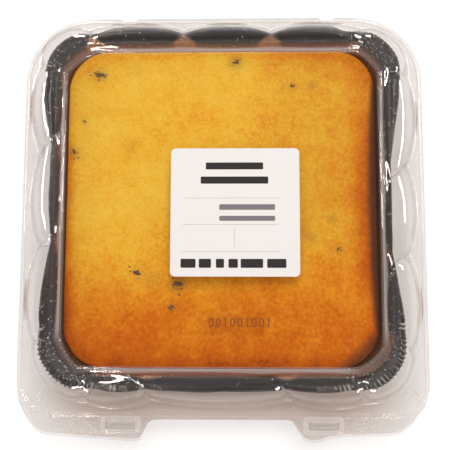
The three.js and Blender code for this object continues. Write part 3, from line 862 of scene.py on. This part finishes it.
def bread_mesh():
    """The bread: its crust in rings, close together at the rounded edge, its side and its flat bottom."""
    widest = bread_ring(BREAD_TOP_HALF, BREAD_TOP_RADIUS)
    inner = np.arange(5.6, BREAD_TOP_HALF - 1, BREAD_RING_STEP)
    rings = []
    for inset in (*inner[::-1], *EDGE_INSETS[::-1]):
        xy = widest * (1 - inset / BREAD_TOP_HALF)
        drop = crust_drop(inset)
        z = BREAD_CROWN_Z - drop + crust_wave(xy[:, 0], xy[:, 1]) * smoothstep(5, 2, drop)
        z = z + np.array([crust_relief(x, y) for x, y in xy]) * smoothstep(5, 3, drop)
        rings.append(np.column_stack([xy + BREAD_CENTRE, z]))
    rings.append(at_height(widest + BREAD_CENTRE, BREAD_CROWN_Z - CRUST_DROPS[0]))
    for half, radius, z, longer in BREAD_SIDE:
        rings.append(at_height(bread_ring(half, radius, longer) + BREAD_CENTRE, z))
    points, fan, quads, count = ring_surface(rings)
    last = len(points) - count
    i = np.arange(count)
    under = np.stack([np.full(count, len(points)), last + (i + 1) % count, last + i], axis=1)
    points = np.vstack([points, [[*BREAD_CENTRE, BREAD_BOTTOM_Z]]])
    return points, [*fan, *quads, *under]


# Bits of green pepper in the crust: place, length, width, turn in degrees, and how dark.
FLECKS = (
    (-64.3, 71.0, 5.6, 2.2, 4, 0.9), (-72.1, 46.3, 1.8, 1.4, 0, 0.5), (-77.0, 29.8, 4.4, 1.9, -50, 0.6),
    (7.2, 78.0, 5.4, 1.7, 22, 0.9), (36.4, 64.5, 2.2, 1.7, 30, 0.7), (-43.1, -32.9, 5.6, 3.6, -20, 0.4),
    (-22.1, -38.4, 6.2, 3.4, -12, 1.0), (-25.1, -50.0, 3.0, 1.6, 15, 0.8), (59.0, -20.6, 2.2, 1.5, 40, 0.6),
)
FLECK_GRAINS = 16


def bread_height(x, y):
    """The crust's height at a place in the plan."""
    x, y = x - BREAD_CENTRE[0], y - BREAD_CENTRE[1]
    inset = min(BREAD_TOP_HALF - abs(x), BREAD_TOP_HALF + BREAD_LONGER - abs(y))
    return BREAD_CROWN_Z - crust_drop(inset) + crust_wave(x, y) + crust_relief(x, y)


BLOB_LEVELS = (-0.6, 0.0, 0.6)
BLOB_AROUND = 8


def blob_faces():
    """Fans round a blob's lowest and highest point, numbers 0 and 1, and bands between its levels."""
    top = 2 + (len(BLOB_LEVELS) - 1) * BLOB_AROUND
    faces = []
    for k in range(BLOB_AROUND):
        n = (k + 1) % BLOB_AROUND
        faces += [(0, 2 + n, 2 + k), (top + k, top + n, 1)]
    for low in range(2, top, BLOB_AROUND):
        faces += list(band(low, low + BLOB_AROUND, BLOB_AROUND)[:, ::-1])
    return faces


BLOB_FACES = blob_faces()


def blob(x, y, z, size, turn, rng):
    """A small uneven lump, flatter than it is wide."""
    rows = [(0, 0, -1), (0, 0, 1)]
    for lift in BLOB_LEVELS:
        for k in range(BLOB_AROUND):
            angle = 2 * math.pi * k / BLOB_AROUND
            reach = math.sqrt(1 - lift * lift) * rng.uniform(0.8, 1.15)
            rows.append((reach * math.cos(angle), reach * math.sin(angle), lift))
    c, s = math.cos(turn), math.sin(turn)
    turned = np.array(rows) * size @ np.array([(c, s, 0), (-s, c, 0), (0, 0, 1)])
    return turned + (x, y, z), BLOB_FACES


def fleck_mesh():
    rng = random.Random(5)
    parts = []
    for x, y, length, width, turn, dark in FLECKS:
        angle = math.radians(turn)
        core = (0.42 * length, 0.38 * width, 0.22)
        parts.append(blob(x, y, bread_height(x, y), core, angle, rng))
        for _ in range(max(3, round(FLECK_GRAINS * dark * length / 5))):
            u, v = rng.gauss(0, 0.42) * length, rng.gauss(0, 0.48) * width
            px = x + u * math.cos(angle) - v * math.sin(angle)
            py = y + u * math.sin(angle) + v * math.cos(angle)
            size = (rng.uniform(0.25, 0.8), rng.uniform(0.2, 0.5), rng.uniform(0.12, 0.26))
            parts.append(blob(px, py, bread_height(px, py), size, rng.uniform(0, math.pi), rng))
    return join_parts(parts)


# ---- Materials ----


def set_stops(ramp, stops):
    """Fills in a colour ramp node."""
    elements = ramp.color_ramp.elements
    while len(elements) < len(stops):
        elements.new(0.5)
    for element, (position, colour) in zip(elements, stops):
        element.position = position
        element.color = colour


class Tree:
    """A material's node tree, with short ways to add and link nodes."""

    def __init__(self, name):
        self.material = bpy.data.materials.new(name)
        self.material.use_nodes = True
        self.nodes = self.material.node_tree.nodes
        self.links = self.material.node_tree.links
        self.nodes.clear()
        self.output = self.nodes.new("ShaderNodeOutputMaterial")
        self.at = self.add("ShaderNodeTexCoord").outputs["Object"]

    def add(self, kind, values=None, **settings):
        node = self.nodes.new(kind)
        for key, value in settings.items():
            setattr(node, key, value)
        for key, value in (values or {}).items():
            if isinstance(value, bpy.types.NodeSocket):
                self.links.new(value, node.inputs[key])
            else:
                node.inputs[key].default_value = value
        return node

    def first(self, kind, values, **settings):
        """A new node's first output."""
        return self.add(kind, values, **settings).outputs[0]

    def attribute(self, name):
        return self.add("ShaderNodeAttribute", attribute_name=name).outputs["Fac"]

    def math(self, operation, a, b, c=0.0):
        return self.first("ShaderNodeMath", {0: a, 1: b, 2: c}, operation=operation)

    def mix(self, factor, a, b, blend="MIX"):
        node = self.add("ShaderNodeMix", {0: factor, 6: a, 7: b}, data_type="RGBA", blend_type=blend)
        return node.outputs[2]

    def ramp(self, value, stops):
        node = self.add("ShaderNodeValToRGB", {0: value})
        set_stops(node, stops)
        return node.outputs[0]

    def noise(self, scale, detail=2.0, roughness=0.5):
        values = {"Vector": self.at, "Scale": scale, "Detail": detail, "Roughness": roughness}
        return self.add("ShaderNodeTexNoise", values).outputs["Fac"]

    def bump(self, height, strength, distance):
        return self.first("ShaderNodeBump", {"Strength": strength, "Distance": distance, "Height": height})

    def blend(self, share, a, b):
        return self.first("ShaderNodeMixShader", {0: share, 1: a, 2: b})

    def surface(self, shader):
        self.links.new(shader, self.output.inputs["Surface"])
        return self.material

    def principled(self, values):
        return self.surface(self.first("ShaderNodeBsdfPrincipled", values))


def grey(value):
    return (value, value, value, 1)


# What a surface of the sheets and of the small relief on them lets through straight on and edge on, and how
# much painted highlight its tight bends get.
SHEET_LOOK = ((0.982, 0.972, 0.965, 1), (0.87, 0.83, 0.81, 1), 0.07)
RELIEF_LOOK = ((0.990, 0.987, 0.985, 1), (0.93, 0.91, 0.90, 1), 0.26)
PAINTED_HIGHLIGHT_COLOUR = (0.86, 0.82, 0.80, 1)

# How much painted highlight the window's raised edge gets.
EDGE_HIGHLIGHT = 0.22

# Painted shade on the base's front wall and flange: the tray's shadow on the floor below, warm with the
# brown of the tray and the bread.
PAINTED_SHADE_TINT = (0.895, 0.835, 0.805, 1)


def clear_plastic(name, look):
    """A thin sheet: seen straight through, tinted and mirror-like edge on, with painted highlights and
    shade.
    """
    straight, edge_on, bend_highlight = look
    tree = Tree(name)
    bump = tree.bump(tree.noise(60.0, 1.5), 0.16, 0.001)
    facing = tree.add("ShaderNodeLayerWeight", {"Blend": 0.5, "Normal": bump}).outputs["Facing"]
    tint = tree.mix(tree.math("POWER", facing, 2.6), straight, edge_on)
    # Painted warm shade along the base's front.
    tint = tree.mix(tree.attribute("painted_front_shade"), tint, PAINTED_SHADE_TINT, "MULTIPLY")
    clear = tree.first("ShaderNodeBsdfTransparent", {"Color": tint})
    gloss = tree.first("ShaderNodeBsdfGlossy", {"Roughness": 0.03, "Normal": bump})
    share = tree.math("MULTIPLY_ADD", tree.math("POWER", facing, 4.6), 0.92, 0.048)
    thin = tree.blend(share, clear, gloss)
    # Painted highlight: a pale matt share at tight bends and on the window's raised edge.
    painted_highlight = tree.first("ShaderNodeBsdfDiffuse", {"Color": PAINTED_HIGHLIGHT_COLOUR})
    edge_highlight = tree.math("MULTIPLY", tree.attribute("edge"), EDGE_HIGHLIGHT)
    share = tree.math("MULTIPLY_ADD", tree.attribute("bend"), bend_highlight, edge_highlight)
    return tree.surface(tree.blend(share, thin, painted_highlight))


def water():
    tree = Tree("water_drop")
    tone = tree.mix(tree.noise(300.0), grey(0.90), grey(0.98))
    clear = tree.first("ShaderNodeBsdfTransparent", {"Color": tone})
    gloss = tree.first("ShaderNodeBsdfGlossy", {"Roughness": 0.02})
    # Painted glint: a mostly pale matt share makes the drops show as white specks.
    painted_highlight = tree.first("ShaderNodeBsdfDiffuse", {"Color": (0.85, 0.82, 0.80, 1)})
    return tree.surface(tree.blend(0.80, tree.blend(0.15, clear, gloss), painted_highlight))


LACQUER = ((0.035, 0.032, 0.032, 1), (0.060, 0.055, 0.053, 1))
PAINTED_BREAD_REFLECTION = (0.34, 0.185, 0.100, 1)
PAINTED_SILVER_HIGHLIGHT = (0.66, 0.64, 0.63, 1)


def black_foil():
    """Dented black lacquered foil, with a painted bread reflection and painted highlights on its pleats."""
    tree = Tree("black_foil")
    dents = tree.noise(160.0)
    height = tree.math("ADD", tree.math("MULTIPLY", tree.noise(1500.0), 0.25), dents)
    # Painted reflection: the "wall" mark browns the foil's wall where the bread would be seen in it.
    wall = tree.attribute("wall")
    painted_pleat_highlight = tree.attribute("painted_pleat_highlight")
    colour = tree.mix(wall, tree.mix(dents, *LACQUER), PAINTED_BREAD_REFLECTION)
    # Painted silver highlight on the pleats' ridges.
    colour = tree.mix(painted_pleat_highlight, colour, PAINTED_SILVER_HIGHLIGHT)
    metal = tree.math("MULTIPLY_ADD", painted_pleat_highlight, -0.60, tree.math("MULTIPLY_ADD", wall, -0.35, 0.75))
    bump = tree.bump(height, 0.35, 0.0006)
    return tree.principled({"Base Color": colour, "Metallic": metal, "Roughness": 0.22, "Normal": bump})


# From least to most baked.
CRUST_COLOURS = (
    (0.0, (0.90, 0.575, 0.060, 1)), (0.22, (0.87, 0.465, 0.029, 1)), (0.45, (0.79, 0.285, 0.012, 1)),
    (0.68, (0.65, 0.150, 0.003, 1)), (0.88, (0.51, 0.100, 0.003, 1)), (1.0, (0.34, 0.060, 0.004, 1)),
)
SPECK_COLOUR = (0.93, 0.68, 0.20, 1)
STAIN_COLOUR = (0.23, 0.15, 0.035, 1)
# The painted shade along the crust's right edge, and the darker crust elsewhere, mix towards this colour.
DARKEST_CRUST = (0.075, 0.038, 0.024, 1)


def crust():
    """Baked crust: yellow to brown by "baked", mottled and grained, greener round the pepper flecks, and
    darker by "dark", which holds painted shade along the right edge.
    """
    tree = Tree("cornbread_crust")
    baked = tree.attribute("baked")
    broad = tree.noise(30.0, 3.0, 0.55)
    patch = tree.noise(130.0, 4.0, 0.62)
    grain = tree.noise(560.0, 3.0, 0.65)
    shade = baked
    for mottle, depth in ((broad, 0.50), (patch, 0.40), (grain, 0.62)):
        shade = tree.math("ADD", shade, tree.math("MULTIPLY_ADD", mottle, depth, -depth / 2))
    colour = tree.ramp(shade, CRUST_COLOURS)
    speck = tree.ramp(tree.noise(1100.0, 1.0), ((0.60, grey(0)), (0.68, grey(1))))
    yellow = tree.first("ShaderNodeMapRange", {0: baked, 1: 0.5, 2: 0.2, 3: 0.05, 4: 0.32})
    colour = tree.mix(tree.math("MULTIPLY", speck, yellow), colour, SPECK_COLOUR)
    colour = tree.mix(tree.math("MULTIPLY", tree.attribute("halo"), 0.60), colour, STAIN_COLOUR)
    colour = tree.mix(tree.attribute("dark"), colour, DARKEST_CRUST)
    height = tree.math("ADD", tree.math("MULTIPLY", patch, 0.5), tree.math("MULTIPLY", grain, 0.5))
    return tree.principled({
        "Base Color": colour, "Roughness": 0.62, "Normal": tree.bump(height, 0.55, 0.0006),
        "Specular IOR Level": 0.15,
    })


def pepper():
    tree = Tree("pepper_fleck")
    colour = tree.mix(tree.noise(700.0), (0.05, 0.030, 0.014, 1), (0.20, 0.12, 0.05, 1))
    return tree.principled({"Base Color": colour, "Roughness": 0.5})


def paper():
    tree = Tree("label_paper")
    fibre = tree.noise(900.0, 4.0, 0.6)
    colour = tree.mix(fibre, (0.735, 0.705, 0.685, 1), (0.765, 0.735, 0.715, 1))
    bump = tree.bump(fibre, 0.06, 0.0002)
    return tree.principled({"Base Color": colour, "Roughness": 0.55, "Normal": bump})


def ink(name, colour):
    tree = Tree(name)
    lighter = tuple(min(1, 1.25 * c + 0.01) for c in colour[:3]) + (1,)
    tone = tree.mix(tree.noise(1200.0, 3.0), colour, lighter)
    return tree.principled({"Base Color": tone, "Roughness": 0.5, "Specular IOR Level": 0.15})


# ---- Pieces ----


def dress(obj, body, slot, *nodes):
    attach(obj, body)
    if nodes:
        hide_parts(*nodes)


def clear_mesh(name, parts, plastic):
    points, faces = join_parts(parts)
    obj = add_mesh(name, points, faces, plastic, 50)
    mark_bends(obj, points, faces)
    return obj


def plan_points(obj):
    """A mesh's points in plan millimetres."""
    points = np.empty(3 * len(obj.data.vertices))
    obj.data.vertices.foreach_get("co", points)
    return points.reshape(-1, 3) / MM - (0, SHIFT_Y, 0)


def painted_shade_share(points):
    """How much painted shade the base gets: along its front, and less on the tabs."""
    x, y, z = points.T
    along_front = smoothstep(98, 60, np.abs(x))
    wall = smoothstep(-84, -90, y) * smoothstep(8, 20, z)
    on_tab = smoothstep(-104, -110, y)
    return along_front * wall * (1 - 0.6 * on_tab)


def edge_highlight_share(points):
    """Painted highlight on the top of the window's raised edge: less at the corners than along the sides."""
    in_corner = smoothstep(58, 70, np.min(np.abs(points[:, :2]), axis=1))
    return smoothstep(47.0, 47.4, points[:, 2]) * (1 - 0.8 * in_corner)


def build_clamshell():
    plastic = clear_plastic("clear_plastic", SHEET_LOOK)
    relief = clear_plastic("clear_relief", RELIEF_LOOK)
    lid = clear_mesh("lid_shell", [lid_shell()], plastic)
    mark_points(lid, "edge", edge_highlight_share(plan_points(lid)))
    dress(lid, "lid", "clear_plastic", "clear_lid")
    base = clear_mesh("base_shell", [base_shell(), *foot_pads()], plastic)
    mark_points(base, "painted_front_shade", painted_shade_share(plan_points(base)))
    dress(base, "base", "clear_plastic", "clear_base")
    on_tabs = [*tab_relief(LID_FLANGE_Z), *buttons(*LID_BUTTON)]
    dress(clear_mesh("tab_relief", on_tabs, relief), "lid", "clear_plastic")
    dress(clear_mesh("base_buttons", buttons(*BASE_BUTTON), relief), "base", "clear_plastic")
    dress(add_mesh("lid_drops", *join_parts(drops()), water()), "lid", "clear_plastic")
    return plastic


HINGE_RADII = (0.68, 0.36)
HINGE_ROUND = np.linspace(-math.pi / 2, math.pi / 2, 9)
HINGE_STEPS = 14


def hinge_strap(low, high):
    """A thin half tube that joins the two flanges' back edges."""
    half_circle = np.column_stack([np.cos(HINGE_ROUND), np.sin(HINGE_ROUND)])
    outer, inner = (radius * half_circle + (FLANGE_BACK - 0.05, HINGE_Z) for radius in HINGE_RADII)
    section = np.vstack([outer, inner[::-1]])
    places = np.linspace(low, high, HINGE_STEPS + 1)
    return loft([np.column_stack([np.full(len(section), x), section]) for x in places])


def build_hinge(plastic):
    web = add_mesh("hinge_web", *join_parts([hinge_strap(*ends) for ends in HINGE_STRAPS]), plastic, 50)
    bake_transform(web)


def build_tray():
    points, faces, wall, painted_pleat_highlight = tray_shell()
    tray = add_mesh("foil_tray_formed", points, faces, black_foil(), 60)
    # The "wall" mark is where the foil gets its painted brown reflection of the bread.
    mark_points(tray, "wall", wall)
    mark_points(tray, "painted_pleat_highlight", painted_pleat_highlight)
    dress(tray, "base", "black_foil", "foil_tray")


def crust_place(points):
    """Plan coordinates from the middle of the bread."""
    return (points[:, :2] - BREAD_CENTRE).T


# How much each part of the crust adds to its brown.
BAKED = {
    "everywhere": 0.13, "right": 0.20, "front": 0.50, "right front": -0.22, "rim": 0.12, "margin": 0.08,
    "side": 0.30, "left edge": 0.22, "right edge": 0.34,
}
CRUST_RADIUS = 26


def baked_share(points):
    """How brown the crust is: more towards the right and the front, and at its very edge."""
    x, y = crust_place(points)
    reach = BREAD_TOP_HALF - CRUST_RADIUS
    corner = np.hypot(np.maximum(np.abs(x) - reach, 0), np.maximum(np.abs(y) - reach, 0))
    near_edge = CRUST_RADIUS - corner
    right = smoothstep(0, 55, x)
    front = smoothstep(12 - 22 * smoothstep(18, 50, np.abs(x)), -75, y)
    parts = {
        "everywhere": 1,
        "right": right,
        "front": front,
        "right front": right * front,
        "rim": smoothstep(6, 0.5, near_edge),
        "margin": smoothstep(18, 1, near_edge) * np.maximum(right, front),
        "side": smoothstep(34, 29, points[:, 2]),
        "left edge": smoothstep(-72, -80, x) * smoothstep(60, 10, y),
        "right edge": smoothstep(64, 76, x) * smoothstep(-65, -20, y) * smoothstep(60, 30, y),
    }
    return sum(BAKED[name] * share for name, share in parts.items())


# How dark the painted shade along the crust's right edge is, how much darker its right front corner is, and
# how much darker both sides of the crust are.
PAINTED_SHADE_EDGE = 0.92
DARKER_CORNER = 0.75
DARKER_SIDES = 0.09


def dark_share(points):
    """How dark the crust is beyond its baked brown: painted shade along its right edge, darker at its right
    front corner and on both sides.
    """
    x, y = crust_place(points)
    far = np.abs(y) / 70
    bow = np.minimum(far, 1) ** 2
    # Painted shade along the crust's right edge.
    edge = smoothstep(73 + 4 * bow, 78 + 2 * bow, x) * smoothstep(1.15, 0.85, far)
    corner = smoothstep(97, 104, (x - y) / math.sqrt(2))
    on_sides = smoothstep(-56, -78, x) + smoothstep(5, 45, x) * smoothstep(-40, -5, y)
    return np.maximum(np.maximum(PAINTED_SHADE_EDGE * edge, DARKER_CORNER * corner), DARKER_SIDES * on_sides)


# Greenish and brown stains in the crust that have no fleck on top: place, radius and strength.
STAINS = (
    (46.7, 64.8, 2.6, 0.5), (56.1, -4.8, 2.4, 0.6), (-35, -36, 5.0, 0.35), (44.8, -14.5, 3.0, 0.45),
    (-47, 33, 4.0, 0.25), (-46, 73, 4.5, 0.2),
)


def halo_share(points):
    """How strongly the crust is stained round the flecks."""
    spots = [(x, y, 0.62 * length + 0.8, 0.8 * dark) for x, y, length, _, _, dark in FLECKS]
    share = np.zeros(len(points))
    for x, y, reach, strength in (*spots, *STAINS):
        far = np.hypot(points[:, 0] - x, points[:, 1] - y) / reach
        share = np.maximum(share, strength * np.exp(-(far**2)))
    return share


def build_bread():
    points, faces = bread_mesh()
    bread = add_mesh("bread_loaf", points, faces, crust())
    for name, share in (("baked", baked_share), ("halo", halo_share), ("dark", dark_share)):
        mark_points(bread, name, share(points))
    dress(bread, "base", "cornbread", "cornbread")
    dress(add_mesh("pepper_flecks", *fleck_mesh(), pepper()), "base", "cornbread")


# Plain bars in place of the label's lettering: left, right, bottom, top, from the pack's middle line.
TITLE_BARS = ((-7.8, 20.8, 18.4, 21.9), (-10.3, 23.3, 11.2, 14.8))
NOTE_BARS = ((-1.0, 26.6, -1.9, 0.9), (-1.0, 26.6, -7.4, -4.9))
RULES = (
    (-18.3, 28.9, 3.9, 4.15), (-19.2, 28.0, -9.3, -9.05), (-19.6, 28.4, -22.7, -22.45),
    (6.5, 6.75, -20.8, -10.6),
)
FOOT_BAR_ENDS = ((-20.0, -12.6), (-11.0, -5.0), (-2.6, 1.4), (3.6, 8.2), (9.6, 20.6), (22.6, 32.0))
FOOT_BARS = tuple((left, right, -30.6, -26.2) for left, right in FOOT_BAR_ENDS)

# Each print: its bars, the radius of their corners, and its ink.
PRINTS = (
    ("label_bars", (*TITLE_BARS, *FOOT_BARS), 0.5, "dark_ink", (0.022, 0.018, 0.018, 1)),
    ("label_note_bars", NOTE_BARS, 0.4, "grey_ink", (0.16, 0.15, 0.15, 1)),
    ("label_rules", RULES, 0.1, "rule_ink", (0.42, 0.40, 0.40, 1)),
)
PRINT_HEIGHT = 0.03
PRINT_SUNK = 0.02


def print_bar(bar, radius):
    left, right, bottom, top = bar
    outline = rounded_rectangle(right - left, top - bottom, radius, 3)
    middle = ((left + right) / 2, (bottom + top) / 2)
    return plate(outline, LABEL_TOP_Z - PRINT_SUNK, LABEL_TOP_Z + PRINT_HEIGHT, middle)


def build_label():
    outline = rounded_rectangle(LABEL_SIDE, LABEL_SIDE, LABEL_RADIUS, 8)
    square = plate(outline, LABEL_BOTTOM_Z, LABEL_TOP_Z, LABEL_CENTRE)
    dress(add_mesh("label_sheet", *square, paper(), 30), "lid", "label_paper", "label")
    for name, bars, radius, ink_name, colour in PRINTS:
        printed = join_parts([print_bar(bar, radius) for bar in bars])
        dress(add_mesh(name, *printed, ink(ink_name, colour), 30), "lid", "label_paper")


INK_PLACES = 9
INK_LEFT, INK_RIGHT = -6.6, 25.0
INK_BOTTOM, INK_TOP = -59.4, -54.9
INK_LINE = 0.65


def ink_loop(centre, width, height):
    """A flat rounded loop of ink."""
    outer, inner = (
        rounded_rectangle(width - 2 * inset, height - 2 * inset, width / 2 - inset - 0.01, 6) + centre
        for inset in (0, INK_LINE)
    )
    count = len(outer)
    heights = (WINDOW_Z + PRINT_HEIGHT, WINDOW_Z - PRINT_SUNK)
    points = [at_height(xy, z) for z in heights for xy in (inner, outer)]
    faces = [band(a * count, b * count, count) for a, b in ((0, 1), (3, 2), (1, 3), (2, 0))]
    return np.vstack(points), np.vstack(faces)


def build_ink_marks():
    """Plain loops and strokes jetted on the window, two loops to a stroke."""
    pitch = (INK_RIGHT - INK_LEFT) / INK_PLACES
    middle = (INK_BOTTOM + INK_TOP) / 2
    height = INK_TOP - INK_BOTTOM
    parts = []
    for k in range(INK_PLACES):
        centre = (INK_LEFT + pitch * (k + 0.5), middle)
        if k % 3 == 2:
            stroke = rounded_rectangle(INK_LINE, height, 0.2, 3)
            parts.append(plate(stroke, WINDOW_Z - PRINT_SUNK, WINDOW_Z + PRINT_HEIGHT, centre))
        else:
            parts.append(ink_loop(centre, 0.66 * pitch, height))
    marks = add_mesh("ink_marks", *join_parts(parts), ink("jet_ink", (0.20, 0.060, 0.008, 1)), 30)
    dress(marks, "lid", "clear_plastic")


# ---- Floor, light and camera ----


# The white table is lit a little from below.
FLOOR_GLOW = 0.17
FLOOR_HALF = 3.0


def build_floor():
    tree = Tree("floor_white")
    tone = tree.mix(tree.noise(30.0), grey(0.87), grey(0.88))
    paper_white = tree.first("ShaderNodeBsdfDiffuse", {"Color": tone})
    lit_below = tree.first("ShaderNodeEmission", {"Color": (1, 1, 1, 1), "Strength": FLOOR_GLOW})
    material = tree.surface(tree.first("ShaderNodeAddShader", {0: paper_white, 1: lit_below}))
    mesh = bpy.data.meshes.new("floor")
    corners = [(x * FLOOR_HALF, y * FLOOR_HALF, 0) for x, y in ((-1, -1), (1, -1), (1, 1), (-1, 1))]
    mesh.from_pydata(corners, [], [(0, 1, 2, 3)])
    mesh.materials.append(material)
    floor = add_object("floor", mesh)


PACK_MIDDLE = Vector((0, 0, 0.03))
LIGHT_COLOUR = (1.0, 0.985, 0.97)
GLINT_COLOUR = (1.0, 0.93, 0.87)


def area_light(name, azimuth, elevation, distance, width, height, power, seen_in_gloss=False):
    """An area light aimed at the pack. Azimuth 0 is at the front and 90 at the right."""
    data = bpy.data.lights.new(name, "AREA")
    data.shape = "RECTANGLE"
    data.size = width
    data.size_y = height
    data.energy = power
    data.color = GLINT_COLOUR if seen_in_gloss else LIGHT_COLOUR
    light = add_object(name, data)
    a, e = math.radians(azimuth), math.radians(elevation)
    away = Vector((math.sin(a) * math.cos(e), -math.cos(a) * math.cos(e), math.sin(e)))
    light.location = PACK_MIDDLE + away * distance
    light.rotation_euler = away.to_track_quat("Z", "Y").to_euler()
    light.visible_camera = False
    light.visible_glossy = seen_in_gloss
    light.visible_diffuse = not seen_in_gloss
    light.visible_transmission = seen_in_gloss


# The sky of the studio by height: dark overhead, a bright band half way up, dim near the floor.
SKY = ((0.0, 0.40), (0.45, 0.25), (0.62, 0.60), (0.84, 0.60), (0.92, 0.02), (1.0, 0.01))
SKY_COLOUR = (1.0, 0.955, 0.93)


def build_sky():
    world = bpy.data.worlds.new("studio")
    world.use_nodes = True
    nodes, links = world.node_tree.nodes, world.node_tree.links
    direction = nodes.new("ShaderNodeTexCoord").outputs["Generated"]
    height = nodes.new("ShaderNodeSeparateXYZ")
    links.new(direction, height.inputs[0])
    ramp = nodes.new("ShaderNodeValToRGB")
    set_stops(ramp, [(position, (*(level * c for c in SKY_COLOUR), 1)) for position, level in SKY])
    links.new(height.outputs["Z"], ramp.inputs[0])
    links.new(ramp.outputs[0], nodes["Background"].inputs["Color"])
    bpy.context.scene.world = world


# Lights by elevation, distance, width, height and power. Only gloss shows the strips and the crease lights,
# whose reflections sit at the ends of the lobes.
FILL_TOP = (90, 1.5, 1.25, 1.25, 13.7)
KEY_BACK = (65, 1.2, 0.45, 0.45, 4.9)
STRIP_LOW = (12, 1.0, 0.24, 0.036, 1.1)
STRIP_HIGH = (50, 1.0, 0.42, 0.036, 2.1)
CREASE_LOW = (15, 1.0, 0.22, 0.10, 1.8)
CREASE_HIGH = (42, 1.0, 0.16, 0.06, 0.9)
STRIP_AZIMUTHS = (("left", 258, 245), ("right", 102, 115))
CREASE_AZIMUTHS = (22, 158, 202, 338)


def build_light():
    build_sky()
    area_light("fill_top", 0, *FILL_TOP)
    area_light("key_back", 168, *KEY_BACK)
    for side, low, high in STRIP_AZIMUTHS:
        area_light("strip_low_" + side, low, *STRIP_LOW, True)
        area_light("strip_high_" + side, high, *STRIP_HIGH, True)
    for azimuth in CREASE_AZIMUTHS:
        area_light(f"crease_low_{azimuth}", azimuth, *CREASE_LOW, True)
        area_light(f"crease_high_{azimuth}", azimuth, *CREASE_HIGH, True)


# The camera hangs over the pack and leans a little towards its back.
CAMERA_AT = (8.84, -42.92, 366.7)
CAMERA_LEAN = 0.10435
CAMERA_YAW = 0.02175
CAMERA_LENS = 52.0


def build_camera():
    data = bpy.data.cameras.new("camera")
    data.lens = CAMERA_LENS
    data.sensor_width = 36
    data.clip_start = 0.01
    camera = add_object("camera", data)
    camera.location = place(CAMERA_AT)
    lean = Euler((CAMERA_LEAN, 0, 0)).to_matrix()
    yaw = Euler((0, CAMERA_YAW, 0)).to_matrix()
    camera.rotation_euler = (lean @ yaw).to_euler()
    bpy.context.scene.camera = camera


def set_render_look():
    scene = bpy.context.scene
    scene.view_settings.view_transform = "Standard"
    scene.view_settings.look = "None"
    scene.cycles.transparent_max_bounces = 32
    scene.cycles.max_bounces = 12
    scene.cycles.glossy_bounces = 6
    scene.cycles.use_denoising = True
    scene.cycles.sample_clamp_indirect = 4.0


build_camera()
build_floor()
build_light()
build_hinge(build_clamshell())
build_tray()
build_bread()
build_label()
build_ink_marks()
set_render_look()
